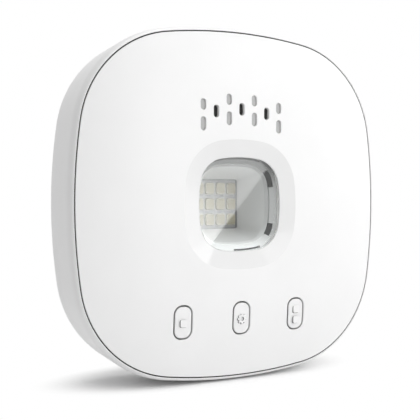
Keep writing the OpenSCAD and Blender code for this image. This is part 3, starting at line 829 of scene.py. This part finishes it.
def recess_outline():
    """The mouth of the bracket recess, with the four lips that hold the bracket's tabs. The second list has
    the index of each lip's first corner."""
    found = []
    lips = []
    for side, (first, last) in ((1, RECESS_Y), (-1, RECESS_Y[::-1])):
        found.append((side * RECESS_HALF, first))
        for end in (-side, side):
            lips.append(len(found))
            for reach, along in ((0, -1), (LIP_REACH, -1), (LIP_REACH, 1), (0, 1)):
                found.append((side * (RECESS_HALF - reach), end * LIP_Y + side * along * LIP_L / 2))
        found.append((side * RECESS_HALF, last))
    return found, lips


def rear_housing():
    """The housing: a wall that rolls out of the seam and draws in, a round rear edge, and the bracket
    recess."""
    shape = Shape()
    wall_z = SEAM_Z - BOW_RUN
    edge_z = BACK_Z + REAR_EDGE_R
    bend_z = edge_z - REAR_EDGE_R * math.sin(REAR_TAPER)
    bend_inset = (wall_z - bend_z) * math.tan(REAR_TAPER) - BOW_OUT
    edge_at = (bend_inset + REAR_EDGE_R * math.cos(REAR_TAPER), edge_z)

    def edge(radius, steps):
        """The round rear edge, from the back to the wall."""
        turn = (REAR_TAPER - QUARTER) / steps
        return [polar(edge_at, -radius, QUARTER + step * turn) for step in range(steps + 1)]

    profile = edge(REAR_EDGE_R - WALL_T, 10)
    profile += [(WALL_T - BOW_OUT, REBATE_Z), (0, REBATE_Z)]
    profile += [(0, SEAM_Z - SEAM_EDGE_R), (-SEAM_EDGE_R, SEAM_Z)]
    bow_steps = 16
    for step in range(2, bow_steps + 1):
        angle = step / bow_steps * QUARTER
        profile.append((-BOW_OUT * math.sin(angle), SEAM_Z - BOW_RUN * (1 - math.cos(angle))))
    profile += between(profile[-1], (bend_inset, bend_z), 4)
    profile += edge(REAR_EDGE_R, 16)[::-1]
    rings = SEAM.rings(shape, profile)
    shape.loft(rings)
    floor_loops = [rings[0]]
    back_loops = [rings[-1]]

    mouth, lips = recess_outline()
    front_mouth = shape.ring(mouth, BACK_Z)
    behind_lips = shape.ring(mouth, BACK_Z + LIP_T)
    shape.bridge(front_mouth, behind_lips)
    back_loops.append(front_mouth)
    tucked = set()
    for first in lips:
        shape.face([behind_lips[first + step] for step in range(4)])
        tucked |= {first + 1, first + 2}
    wall = [index for step, index in enumerate(behind_lips) if step not in tucked]
    ceiling = shape.ring([shape.points[index][:2] for index in wall], RECESS_Z)
    shape.bridge(wall, ceiling)
    shape.fill([ceiling])

    block_w = 2 * (RECESS_HALF + WALL_T)
    block_h = RECESS_Y[1] - RECESS_Y[0] + 2 * WALL_T
    block_at = (0, (RECESS_Y[0] + RECESS_Y[1]) / 2)
    block_outline = pill(block_at, block_w, block_h, RECESS_BLOCK_R)
    block = [shape.ring(block_outline, z) for z in (FLOOR_Z, RECESS_Z + WALL_T)]
    shape.loft(block)
    shape.fill([block[1]])
    floor_loops.append(block[0])

    head_r = HEAD_R + HEAD_PLAY
    screw_r = CASE_SCREW_R + HEAD_PLAY
    post_r = head_r + POST_WALL
    wide, less = POST_MOUTH
    case_post = [
        (head_r + wide, BACK_Z), (head_r + less, BACK_Z + less), (head_r, BACK_Z + wide), (head_r, POST_SEAT),
        (screw_r, POST_SEAT), (screw_r, POST_TOP), (post_r, POST_TOP), (post_r, FLOOR_Z),
    ]
    for at in four_corners(*CASE_SCREW_AT):
        post = shape.turned(at, case_post, 48)
        shape.loft(post)
        back_loops.append(post[0])
        floor_loops.append(post[-1])
    hole_r = BOARD_SCREW_R + PLAY
    board_post = [(BOARD_POST_R, FLOOR_Z), (BOARD_POST_R, BOARD_Z), (hole_r, BOARD_Z), (hole_r, FLOOR_Z)]
    for at in four_corners(*BOARD_SCREW_AT):
        post = shape.turned(at, board_post)
        shape.loft(post)
        shape.face(post[-1])
        floor_loops.append(post[0])
    shape.fill(back_loops)
    shape.fill(floor_loops)

    piece = shape.build("rear_housing_shell", [WHITE], "hub", ["rear_housing"])
    bore = Shape()
    across = circle((0, INLET_Z), INLET_NOSE_R + HEAD_PLAY, steps=64)
    bore.capped([
        bore.add([(x, y, z) for x, z in across]) for y in (-SEAM_HALF - INLET_CUT, -SEAM_HALF + INLET_CUT)
    ])
    cut(piece, [bore])


def seam_shade_lip():
    """A near-black lip on the dust seal that stands up in the seam: painted shade that darkens the seam line.
    """
    shape = Shape()
    ease = LIP_EASE
    inner = SEAM_GAP + RIM_EASE - ease
    top = SEAM_Z - LIP_SINK
    rings = SEAM.rings(shape, [
        (ease, SKIRT_Z), (ease, top - ease), (2 * ease, top),
        (inner - ease, top), (inner, top - ease), (inner, SKIRT_Z),
    ])
    shape.loft(rings + [rings[0]])
    shape.build("seam_lip_painted_shade", [SEAL_RUBBER_AND_SHADE], "hub")


# Light: lens, reflector, board and emitters

LENS_BACK, LENS_FRONT = span("window_lens")[2]
LENS_FLANGE_W = 2.5
LENS_FLANGE_T = 1.2
LENS_FLANGE_EASE = 0.1
LENS_GAP = 0.1
LENS_EDGE_R = 0.08
REFLECTOR_BACK, COLLAR_FRONT = span("light_reflector")[2]
COLLAR_BACK = COLLAR_FRONT - 2.6
# The collar narrows to a step and a groove, and then to the edge of the funnel
STEP_INSET = 1.9
STEP_Z = 26.6
GROOVE_D = 0.3
FUNNEL_INSET = 3.0
FUNNEL_FRONT = 24.7
FUNNEL_EASE = 0.15
REFLECTOR_T = 1.2
WELL_R = 0.8
CLIP_Z = (26.0, 27.7)
CLIP_HOOK = (2.1, 0.7)
SLIT_HOOK = (0.7, 0.3)
# Windows in the collar: the side each lies in, its ends along it, its heights, and the insets of its hook.
# The last two are long slits just behind the lens, at the top and the bottom. Their near-black hooks, like
# the others, are painted shade of the openings.
COLLAR_WINDOWS = [
    (0, (6.0, 13.2), CLIP_Z, CLIP_HOOK),
    (0, (-11.9, -6.8), CLIP_Z, CLIP_HOOK),
    (2, (-13.2, -6.0), CLIP_Z, CLIP_HOOK),
    (2, (6.8, 11.9), CLIP_Z, CLIP_HOOK),
    (1, (-9.0, 9.0), (27.8, 28.4), SLIT_HOOK),
    (3, (-1.5, 9.2), (28.05, 28.4), SLIT_HOOK),
]
COLLAR_CUT = 4.0
HOOK_OUTSIDE = 0.3 - LENS_FLANGE_W
LED_SIZE = (3.5, 3.9)
LED_CORNER_R = 0.7
LED_FRAME_W = 0.12
LED_CUP = 0.06
LED_EASE = 0.08
LED_PITCH = (4.3, 5.5)
LED_COLUMNS = 4
LED_ROWS = 3
LED_FIELD = (17.8, 17.6)
LED_BASE, LED_TOP = span("led_emitters")[2]
LED_BOARD_R = 1.0
LED_SCREW_EDGE = 2.5
LED_SCREW_R = 0.9
FUNNEL_BACK = LED_TOP + 0.4
SHADE_FRAME_W = 0.35
SHADE_FRAME_TOP = LED_BASE + 0.5


def window_lens():
    """A clear plate with a rounded front edge, and the flange round it that lies behind the cover."""
    ease = LENS_FLANGE_EASE
    flange_front = LENS_BACK + LENS_FLANGE_T
    flange = Shape()
    rings = WINDOW.rings(flange, [
        (ease - LENS_FLANGE_W, LENS_BACK), (-LENS_FLANGE_W, LENS_BACK + ease),
        (-LENS_FLANGE_W, flange_front - ease), (ease - LENS_FLANGE_W, flange_front),
        (LENS_GAP / 2, flange_front), (LENS_GAP / 2, LENS_BACK),
    ])
    flange.loft(rings + [rings[0]])
    flange.build("window_flange", [CLEAR], "hub")

    shape = Shape()
    profile = [(LENS_GAP, LENS_BACK)]
    for inset, drop in reversed(quarter_round(LENS_EDGE_R, 4)):
        profile.append((LENS_GAP + inset, LENS_FRONT - drop))
    shape.plugged(WINDOW.rings(shape, profile), DOWN, UP)
    shape.build("clear_window", [CLEAR], "hub", ["window_lens"])


def rectangle(width, height, radius, count):
    """Places along a rectangle with round corners, matched to those that RoundedSquare.angles gives."""
    steps = count // 4
    found = []
    for quarter in range(4):
        out, half = (width / 2, height / 2) if quarter % 2 == 0 else (height / 2, width / 2)
        straight = half - radius
        whole = straight + radius * QUARTER / 2
        cos = (1, 0, -1, 0)[quarter]
        sin = (0, 1, 0, -1)[quarter]
        for step in range(steps):
            share = 2 * step / steps - 1
            along = abs(share) * whole
            x, y = out, along
            if along > straight:
                x, y = polar((out - radius, straight), radius, (along - straight) / radius)
            y = math.copysign(y, share)
            found.append((cos * x - sin * y, sin * x + cos * y))
    return found


def well_ring(shape, grow, z):
    """Adds a ring along the well round the emitters, drawn out by grow."""
    width, height = (size + 2 * grow for size in LED_FIELD)
    return shape.ring(rectangle(width, height, WELL_R + grow, WINDOW.steps), z)


def collar_segment(shape, quarter, ends, inner, outer, heights, ease=0.0):
    """A closed block that follows the window's outline between two distances along it. Its inner insets at
    the back and the front may differ."""
    steps = 8
    row = [ends[0] + (ends[1] - ends[0]) * step / steps for step in range(steps + 1)]
    angles = [WINDOW.angle_at(quarter, along) for along in row]
    rings = []
    for inset, z in zip(inner, (heights[0] + ease, heights[1] - ease)):
        places = [WINDOW.point(angle, inset) for angle in angles]
        places += [WINDOW.point(angle, outer) for angle in reversed(angles)]
        rings.append(shape.ring(places, z))
    shape.plugged(rings)


def light_reflector():
    """A square funnel behind the lens, with a stepped collar, clip windows and a well round the emitters."""
    shape = Shape()
    groove_z = STEP_Z - GROOVE_D
    inside = WINDOW.rings(shape, [
        (LENS_GAP, COLLAR_FRONT), (STEP_INSET, STEP_Z),
        (STEP_INSET, groove_z), (STEP_INSET + GROOVE_D, groove_z),
        (FUNNEL_INSET - FUNNEL_EASE, FUNNEL_FRONT + FUNNEL_EASE), (FUNNEL_INSET, FUNNEL_FRONT - FUNNEL_EASE),
    ])
    inside += [well_ring(shape, 0, z) for z in (FUNNEL_BACK, REFLECTOR_BACK)]
    outside = [well_ring(shape, REFLECTOR_T, z) for z in (REFLECTOR_BACK, FUNNEL_BACK)]
    outside += WINDOW.rings(shape, [
        (FUNNEL_INSET - REFLECTOR_T, COLLAR_BACK),
        (-LENS_FLANGE_W, COLLAR_BACK), (-LENS_FLANGE_W, COLLAR_FRONT),
    ])
    shape.loft(inside[:2], slot=1)
    shape.loft(inside[1:4], slot=2)
    shape.loft(inside[3:5], slot=3)
    shape.loft(inside[4:] + outside + [inside[0]])
    # The collar, groove and step finishes carry painted shade, darker towards the top
    finishes = [REFLECTOR, COLLAR_PAINTED_SHADE, GROOVE_PAINTED_SHADE, STEP_PAINTED_SHADE]
    piece = shape.build("reflector_funnel", finishes, "hub", ["light_reflector"])
    cutters = []
    hooks = Shape()
    for quarter, ends, heights, hook_insets in COLLAR_WINDOWS:
        cutter = Shape()
        collar_segment(cutter, quarter, ends, (COLLAR_CUT, COLLAR_CUT), -COLLAR_CUT, heights)
        cutters.append(cutter)
        within = (ends[0] + PLAY, ends[1] - PLAY)
        collar_segment(hooks, quarter, within, hook_insets, HOOK_OUTSIDE, heights, PLAY)
    cut(piece, cutters)
    # The near-black hooks are painted shade inside the windows and slits
    hooks.build("reflector_hooks", [CLIP_HOOK_SHADE], "hub")


def emitter_shade_frame():
    """A thin dark frame on the light board, just inside the reflector's well: painted shade that draws a dark
    line round the foot of the well.
    """
    shape = Shape()
    profile = [(PLAY, LED_BASE), (PLAY, SHADE_FRAME_TOP), (SHADE_FRAME_W, SHADE_FRAME_TOP), (SHADE_FRAME_W, LED_BASE)]
    rings = [well_ring(shape, -inset, z) for inset, z in profile]
    shape.loft(rings + [rings[0]])
    shape.build("emitter_shade_frame", [WELL_FOOT_SHADE], "hub")


def led_board():
    """The light board, with its four screw holes and eased edges."""
    (left, right), _, (back, front) = span("led_board")
    width = right - left
    screw_at = width / 2 - LED_SCREW_EDGE
    shape = Shape()
    holes = [partial(circle, at, LED_SCREW_R, steps=24) for at in four_corners(screw_at, screw_at)]
    shape.slab(partial(pill, (0, 0), width, width, LED_BOARD_R), back, front, PLATE_EDGE_R, holes)
    shape.build("light_board", [LIGHT_BOARD], "hub", ["led_board"])


def led_emitters():
    """Twelve emitter packages: a pale frame round a shallow cup of phosphor."""
    shape = Shape()
    levels = [
        (2 * LED_EASE, LED_BASE), (-0.5 * LED_EASE, LED_TOP - LED_EASE), (-LED_EASE, LED_TOP),
        (-LED_FRAME_W, LED_TOP), (-LED_FRAME_W - LED_CUP, LED_TOP - LED_CUP),
    ]
    for column in range(LED_COLUMNS):
        for row in range(LED_ROWS):
            at = (
                (column - (LED_COLUMNS - 1) / 2) * LED_PITCH[0],
                (row - (LED_ROWS - 1) / 2) * LED_PITCH[1],
            )
            rings = [
                shape.ring(pill(at, *LED_SIZE, LED_CORNER_R, grow, arc_steps=4), z) for grow, z in levels
            ]
            shape.plugged(rings, high=UP, slot=1)
    shape.build("emitter_packages", [PALE_FRAME, PHOSPHOR], "hub", ["led_emitters"])


# Buttons

MARK_DROP = 0.22
MARK_SLOPE = 0.08
MARK_LEAN = (-0.06, -0.14)
MARK_ROUND_R = 0.08
DOT_W = 2.4
DOT_R = 0.5
DOT_PITCH = 3.6
COG_D = 3.4
COG_HOLE_R = 0.7
COG_TEETH = 8
COG_EASE = 0.15
BUTTON_FLANGE_W = 0.8
BUTTON_FLANGE_T = 1.0
BUTTON_FLANGE_GAP = 0.1
STEM_R = 2.0
STEM_EASE = 0.2


def cog_outline(grow):
    """A small gear: round roots and square teeth with eased corners."""
    tooth = COG_D / 5
    root_r = (COG_D - 1.2 * tooth) / 2 + grow
    tip_r = COG_D / 2 + grow
    ease_r = tip_r - COG_EASE
    half = tooth / 2 + grow
    root = math.asin(half / root_r)
    ease = math.asin(half / ease_r)
    tip = math.asin(0.8 * half / tip_r)
    pitch = 2 * QUARTER / COG_TEETH
    profile = [
        (root_r, -pitch), (root_r, -root), (ease_r, -ease), (tip_r, -tip),
        (tip_r, tip), (ease_r, ease), (root_r, root),
    ]
    return [
        polar((0, 0), radius, 2 * pitch * index + offset)
        for index in range(COG_TEETH) for radius, offset in profile
    ]


def moved(places, x, y):
    return [(x + place[0], y + place[1]) for place in places]


def button(side, outlines, holes=()):
    """A flush button: its top follows the cover, its mark stands on it, and a flange and stem lie behind."""
    x = BUTTONS[side]
    node = f"{side}_button"
    stem_back, mark_top = span(node)[2]
    flange_top = face_z(
        BUTTON_PITCH + BUTTON_SIZE[0] / 2 + BUTTON_FLANGE_W,
        BUTTON_Y - BUTTON_SIZE[1] / 2 - BUTTON_FLANGE_W,
    ) - COVER_T - BUTTON_FLANGE_GAP
    flange_back = flange_top - BUTTON_FLANGE_T
    shape = Shape()
    cap = [
        shape.ring(button_outline(x, -BUTTON_GAP - inset), lambda px, py: face_z(px, py) - drop)
        for inset, drop in quarter_round(BUTTON_EDGE_R, 5)
    ]
    sides = [cap[-1]]
    for grow, z in ((-BUTTON_GAP, flange_top), (BUTTON_FLANGE_W, flange_top), (BUTTON_FLANGE_W, flange_back)):
        sides.append(shape.ring(button_outline(x, grow), z))
    shape.loft(cap)
    # The cap's sides and flange take the dark second finish, painted shade of the gap round the button
    shape.loft(sides, slot=1)
    stem = shape.turned((x, BUTTON_Y), [
        (STEM_R, flange_back), (STEM_R, stem_back + STEM_EASE), (STEM_R - STEM_EASE, stem_back),
    ])
    shape.loft(stem)
    shape.face(stem[-1])
    shape.fill([sides[-1], stem[0]], normal=DOWN)

    mark_at = (x, BUTTON_Y - MARK_DROP)
    foot_at = (mark_at[0] + MARK_LEAN[0], mark_at[1] + MARK_LEAN[1])
    levels = [
        (MARK_SLOPE, foot_at, face_z), (0.0, mark_at, mark_top - MARK_ROUND_R),
        (-0.5 * MARK_ROUND_R, mark_at, mark_top - 0.2 * MARK_ROUND_R), (-MARK_ROUND_R, mark_at, mark_top),
    ]

    def stack(outline, sign):
        """The sides of a mark or of a hole in it. Gives their first and last rings."""
        rings = [shape.ring(moved(outline(sign * grow), *at), z) for grow, at, z in levels]
        # The mark's sides take the dark second finish, painted shade along its edges
        shape.loft(rings[:2], slot=1)
        shape.loft(rings[1:])
        return rings[0], rings[-1]

    loops = [cap[0]]
    hole_rings = [stack(hole, -1) for hole in holes]
    for outline in outlines:
        base, top = stack(outline, 1)
        loops.append(base)
        shape.fill([top] + [hole_top for _, hole_top in hole_rings], normal=UP)
    for base, _ in hole_rings:
        shape.fill([base], normal=face_normal)
    shape.fill(loops, normal=face_normal)
    shape.build(f"{side}_button_cap", [WHITE, KEY_PAINTED_SHADE], f"{side}_key", [node])


def dot_at(rise):
    return partial(pill, (0, rise), DOT_W, DOT_W, DOT_R)


def buttons():
    button("left", [dot_at(0)])
    button("centre", [cog_outline], [partial(circle, (0, 0), COG_HOLE_R, steps=24)])
    button("right", [dot_at(-DOT_PITCH / 2), dot_at(DOT_PITCH / 2)])


# Grille

SLOT_SINK = 0.5
PAD_SINK = 1.05
SLOT_ROUND_R = 0.25
INSERT_T = 1.0
INSERT_R = 1.6


def slot_posts(shape, slots, foot, sink):
    """Posts with rounded tops that stand in slots and end under the face."""
    for slot in slots:
        rings = [shape.ring(slot_outline(slot, -PLAY), foot)]
        for inset, drop in reversed(quarter_round(SLOT_ROUND_R, 3)):
            places = slot_outline(slot, -PLAY - inset)
            rings.append(shape.ring(places, lambda x, y: face_z(x, y) - sink - drop))
        shape.plugged(rings, high=face_normal)


def grille_insert():
    """A grey plate behind the slots, with eight posts that nearly fill their slots, and near-black pads that
    stand in the other three as painted shade of the open holes."""
    (left, right), (low, high), (back, _) = span("grille_insert")
    shape = Shape()
    holes = [partial(slot_outline, slot) for slot in OPEN_SLOTS]
    middle = ((left + right) / 2, (low + high) / 2)
    plate = partial(pill, middle, right - left, high - low, INSERT_R)
    shape.slab(plate, back, back + INSERT_T, PLATE_EDGE_R, holes)
    slot_posts(shape, FILLED_SLOTS, back + INSERT_T / 2, SLOT_SINK)
    shape.build("grille_posts", [GRILLE], "hub", ["grille_insert"])
    # Near-black pads in the open slots: painted shade deep in the holes
    pads = Shape()
    slot_posts(pads, OPEN_SLOTS, back, PAD_SINK)
    pads.build("slot_shade_pads", [CLOTH_AND_SLOT_SHADE], "hub")


# Bracket and screws

PLATE_T = 2.0
PLATE_R = 2.0
RAIL_T = 3.0
RAIL_R = 1.2
TAB_T = 2.0
TAB_R = 1.0
BRACKET_ROUND_R = 0.3
WALL_HOLE_AT = 15
WALL_HOLE_R = 2.25
WALL_HOLE_RIM = 2.5
WALL_HOLE_RISE = 0.6
WALL_HOLE_ROUND_R = 0.2
HEAD_H = 1.8
# The round of a screw's head: how far in from its side and below its top each step lies
HEAD_ROUND = ((1.2, 0.0), (0.35, 0.25), (0.0, 0.8))
THREAD_D = 0.3
THREAD_PITCH = 0.75
THREAD_W = 0.7
# A screw's point: the lengths in front of its tip where the thread ends and the taper starts, and its radii
POINT = (1.4, 0.6)
POINT_R = (1.05, 0.3)
CROSS = (1.4, 0.35)
CROSS_D = 1.1


def wall_bracket():
    """The bracket: a plate with two wall screw holes, two rails, and four tabs that go behind the lips."""
    (_, right), (low, high), (back, front) = span("wall_bracket")
    half_w = right - LIP_REACH
    height = high - low
    tab_w = RAIL_T + LIP_REACH
    shape = Shape()
    places = [(0, side * WALL_HOLE_AT) for side in (-1, 1)]
    holes = [partial(circle, at, WALL_HOLE_R, steps=48) for at in places]
    plate = partial(pill, (0, 0), 2 * half_w, height, PLATE_R)
    shape.slab(plate, back, back + PLATE_T, BRACKET_ROUND_R, holes)
    for side, ring_at, hole in zip((-1, 1), places, holes):
        rail = partial(pill, (side * (half_w - RAIL_T / 2), 0), RAIL_T, height, RAIL_R)
        shape.slab(rail, back + PLATE_T / 2, front, BRACKET_ROUND_R)
        for end in (-1, 1):
            tab = partial(pill, (side * (right - tab_w / 2), end * LIP_Y), tab_w, LIP_L, TAB_R)
            shape.slab(tab, front - TAB_T, front, BRACKET_ROUND_R)
        rim = partial(circle, ring_at, WALL_HOLE_R + WALL_HOLE_RIM, steps=48)
        shape.slab(rim, back + PLATE_T / 2, back + PLATE_T + WALL_HOLE_RISE, WALL_HOLE_ROUND_R, [hole])
    shape.build("bracket_plate", [BRACKET], "bracket", ["wall_bracket"])


def case_screws():
    """Four pan-head screws with cross recesses, sunk in the back of the housing."""
    back, tip = span("case_screws")[2]
    z = back + HEAD_H
    profile = [(HEAD_R - inset, back + drop) for inset, drop in HEAD_ROUND] + [(HEAD_R, z)]
    root_r = CASE_SCREW_R - THREAD_D
    while z < tip - POINT[0]:
        profile += [(root_r, z), (CASE_SCREW_R, z + THREAD_W / 2), (root_r, z + THREAD_W)]
        z += THREAD_PITCH
    profile += [(POINT_R[0], tip - POINT[1]), (POINT_R[1], tip)]
    shape = Shape()
    cutters = []
    for at in four_corners(*CASE_SCREW_AT):
        shape.capped(shape.turned(at, profile))
        for reach in (CROSS, CROSS[::-1]):
            bar = moved([(x * reach[0], y * reach[1]) for x, y in SQUARE], *at)
            cutter = Shape()
            cutter.capped([cutter.ring(bar, height) for height in (back - 1, back + CROSS_D)])
            cutters.append(cutter)
    piece = shape.build("case_screws_pan", [ZINC], "hub", ["case_screws"])
    cut(piece, cutters)


front_cover()
rear_housing()
seam_shade_lip()
window_lens()
light_reflector()
emitter_shade_frame()
led_board()
led_emitters()
buttons()
grille_insert()
wall_bracket()
case_screws()

# Plain finishes of the nodes that keep their CAD shape

NODE_FINISHES = [
    (SEAL_RUBBER_AND_SHADE, ["seam_seal"]),
    (ZINC, ["led_board_screws", "board_screws"]),
    (BLACK, [
        "left_switch_plunger", "centre_switch_plunger", "right_switch_plunger", "switch_bodies",
        "processor_chip", "power_coil", "sounder_housing", "power_inlet",
    ]),
    (BOARD, ["main_board"]),
    (STEEL, ["wifi_module", "door_radio"]),
    (BRASS, ["door_radio_antenna", "sounder_disc"]),
    (SLEEVE, ["capacitors"]),
    (CLOTH_AND_SLOT_SHADE, ["sound_mesh"]),
]
for finish, names in NODE_FINISHES:
    for name in names:
        mesh = frame["nodes"][name].data
        mesh.materials.clear()
        mesh.materials.append(finish)

# Stage, light and camera

FLOOR_LEVEL = cad_box[0][2]
FLOOR_HALF = 3.0
# The part of the floor that keeps its shading: half lengths of an oval under the hub, its middle, and the
# shares of it between which the shading fades
SHADE_OVAL = (0.055, 0.024)
SHADE_AT = (-0.003, -0.010)
SHADE_FADE = (0.65, 1.15)
FLOOR_BOUNCE = grey(0.88)
AMBIENT = 0.466


def stage_material():
    """White near the object, with its shadow, and plain white as it is seen further out. The light that
    bounces off it is a little darker."""
    finish = Finish("stage_white", Base_Color=(0.97, 0.97, 0.97, 1), Roughness=0.9, Specular_IOR_Level=0.0)
    seen = finish.seen_directly()
    oval = finish.add("ShaderNodeMapping", finish.places, Scale=(1 / SHADE_OVAL[0], 1 / SHADE_OVAL[1], 1))
    reach = finish.add("ShaderNodeVectorMath", oval, operation="LENGTH")
    fade = finish.add(
        "ShaderNodeMapRange", reach.outputs["Value"],
        interpolation_type="SMOOTHSTEP", From_Min=SHADE_FADE[0], From_Max=SHADE_FADE[1],
    )
    far = finish.add("ShaderNodeMath", fade, operation="MULTIPLY")
    finish.link(seen, far, 1)
    glow = finish.add("ShaderNodeEmission", Strength=1.0)
    bounce = finish.add("ShaderNodeBsdfDiffuse", Color=(*FLOOR_BOUNCE, 1))
    near = finish.mix(seen, bounce, finish.shader)
    finish.show(finish.mix(far, near, glow))
    return finish.owner


def panel(name, corners, material):
    """A flat piece with four corners."""
    mesh = bpy.data.meshes.new(name)
    mesh.from_pydata(corners, [], [(0, 1, 2, 3)])
    mesh.materials.append(material)
    return add_object(name, mesh)


def floor():
    corners = [(x * FLOOR_HALF, y * FLOOR_HALF, 0) for x, y in SQUARE]
    piece = panel("floor", corners, stage_material())
    piece.location = (*SHADE_AT, FLOOR_LEVEL)


def sky():
    """White as it is seen, and a soft even light on the object."""
    nodes = Nodes(bpy.data.worlds.new("studio"))
    bpy.context.scene.world = nodes.owner
    back = nodes.tree.nodes["Background"]
    back.inputs["Color"].default_value = (1, 1, 1, 1)
    spread = nodes.add("ShaderNodeMapRange", nodes.seen_directly(), To_Min=AMBIENT, To_Max=1.0)
    nodes.link(spread, back, "Strength")


def aim(piece, at, towards):
    """Puts a lamp or a camera at a place, so that it looks in a direction."""
    piece.location = at
    piece.rotation_mode = "QUATERNION"
    piece.rotation_quaternion = towards.to_track_quat("-Z", "Y")


def direction(azimuth, elevation):
    """A direction in front of the face: azimuth to its right and elevation up, in degrees."""
    azimuth, elevation = math.radians(azimuth), math.radians(elevation)
    return Vector((
        math.sin(azimuth) * math.cos(elevation),
        -math.cos(azimuth) * math.cos(elevation),
        math.sin(elevation),
    ))


WINDOW_AT = Vector((0, -WINDOW_Z * MM, 0))
# Lamps: where each is, the place that it faces, its size and power, and whether gloss shows it
LAMPS = {
    "key": (WINDOW_AT + 0.6 * direction(45, 25), WINDOW_AT, (0.45, 0.45), 1.53, False),
    "fill": (WINDOW_AT + 0.7 * direction(17.6, 6.4), WINDOW_AT, (0.22, 0.17), 0.56, False),
    "overhead": (Vector((0, -0.05, 0.7)), Vector((0, -0.03, 0)), (0.6, 0.6), 2.15, True),
}


def lamps():
    """Soft box lamps that light the object."""
    for name, (at, target, size, power, in_gloss) in LAMPS.items():
        light = bpy.data.lights.new(name, "AREA")
        light.shape = "RECTANGLE"
        light.size, light.size_y = size
        light.energy = power
        piece = add_object(name, light)
        piece.visible_glossy = in_gloss
        aim(piece, at, target - at)


CAMERA_AZIMUTH = -29.14
CAMERA_ELEVATION = 0.96
CAMERA_DISTANCE = 0.2788
CAMERA_TARGET = Vector((-0.01065, -0.029, -0.00182))
CAMERA_BACK = direction(CAMERA_AZIMUTH, CAMERA_ELEVATION)
CAMERA_AT = CAMERA_TARGET + CAMERA_DISTANCE * CAMERA_BACK
FOCAL_PIXELS = 839.9
IMAGE_PIXELS = 420


def camera():
    lens = bpy.data.cameras.new("camera")
    lens.sensor_width = 36
    lens.lens = FOCAL_PIXELS / IMAGE_PIXELS * lens.sensor_width
    lens.clip_start = 0.01
    piece = add_object("camera", lens)
    aim(piece, CAMERA_AT, -CAMERA_BACK)
    bpy.context.scene.camera = piece


# The edge of the glare on the lens, from its upper right to its lower left
GLARE_EDGE = (Vector((10.13, 10.86, 0)), Vector((-10.27, -12.21, 0)))
GLARE_OVERRUN = (0.05, 0.15)
GLARE_WIDTH = 20
GLARE_AWAY = 0.45
# The glare's strength at its ends, and the shares of its length between which it grows
GLARE_LOW = 2.85
GLARE_HIGH = 6.2
GLARE_RUN = (0.31, 1.09)
# Cards that the polished ring and the lens mirror: distance, azimuths, elevations and strength
CARDS = {
    "near_card": (1.5, (5, 17.1), (-0.75, 40), 1.0),
    "panel_card": (1.5, (17.1, 28.3), (-0.75, 40), 2.1),
    "strip_card": (1.5, (38.0, 43.1), (-0.75, 40), 3.1),
    "side_card": (1.5, (43.1, 70), (-0.75, 40), 1.9),
    "lens_flag": (0.62, (24, 38), (-5, 5), 0.5),
}


def glow(name, strength=1.0):
    """A light card's nodes, and the one that shines."""
    nodes = Nodes(bpy.data.materials.new(name))
    nodes.tree.nodes.clear()
    light = nodes.add("ShaderNodeEmission", Strength=strength)
    nodes.add("ShaderNodeOutputMaterial", light)
    return nodes, light


def glare_material():
    """A light card that grows brighter along its length."""
    nodes, light = glow("glare_card")
    places = nodes.add("ShaderNodeTexCoord").outputs["Generated"]
    spread = nodes.add(
        "ShaderNodeMapRange", nodes.add("ShaderNodeSeparateXYZ", places).outputs["X"],
        interpolation_type="SMOOTHSTEP", From_Min=GLARE_RUN[0], From_Max=GLARE_RUN[1],
        To_Min=GLARE_LOW, To_Max=GLARE_HIGH,
    )
    nodes.link(spread, light, "Strength")
    return nodes.owner


def for_gloss(piece):
    """Shows a card in reflections, and neither to the camera nor as light on the object."""
    piece.visible_camera = False
    piece.visible_diffuse = False
    piece.visible_shadow = False


def ring_cards():
    """Light cards in front of the face, seen by gloss alone, whose edges cross the dished ring."""
    for name, (away, (left, right), (low, high), strength) in CARDS.items():
        corners = [
            WINDOW_AT + away * direction(azimuth, elevation)
            for azimuth, elevation in ((left, low), (right, low), (right, high), (left, high))
        ]
        piece = panel(name, corners, glow("card", strength)[0].owner)
        for_gloss(piece)
        piece.visible_transmission = False


def glare_card():
    """A card that the flat lens mirrors to the camera, so that its edge crosses the lens as a slanted
    line."""
    start, end = GLARE_EDGE
    along = end - start
    across = Vector((along.y, -along.x, 0)).normalized() * GLARE_WIDTH
    start = start - GLARE_OVERRUN[0] * along
    end = end + GLARE_OVERRUN[1] * along
    lens_y = -LENS_FRONT * MM
    eye = Vector((CAMERA_AT.x, 2 * lens_y - CAMERA_AT.y, CAMERA_AT.z))
    reach = 1 + GLARE_AWAY / (eye.y - lens_y)
    corner, far_end, side = (
        eye + reach * (Vector((place.x * MM, lens_y, place.y * MM)) - eye)
        for place in (start, end, start + across)
    )
    x_axis = far_end - corner
    y_axis = side - corner
    length, width = x_axis.length, y_axis.length
    corners = [(0, 0, 0), (length, 0, 0), (length, width, 0), (0, width, 0)]
    piece = panel("glare_card", corners, glare_material())
    x_axis.normalize()
    y_axis.normalize()
    rows = zip(x_axis, y_axis, x_axis.cross(y_axis), corner)
    piece.matrix_world = Matrix((*rows, (0, 0, 0, 1)))
    for_gloss(piece)


floor()
sky()
lamps()
glare_card()
ring_cards()
camera()
bpy.context.scene.view_settings.view_transform = "Standard"
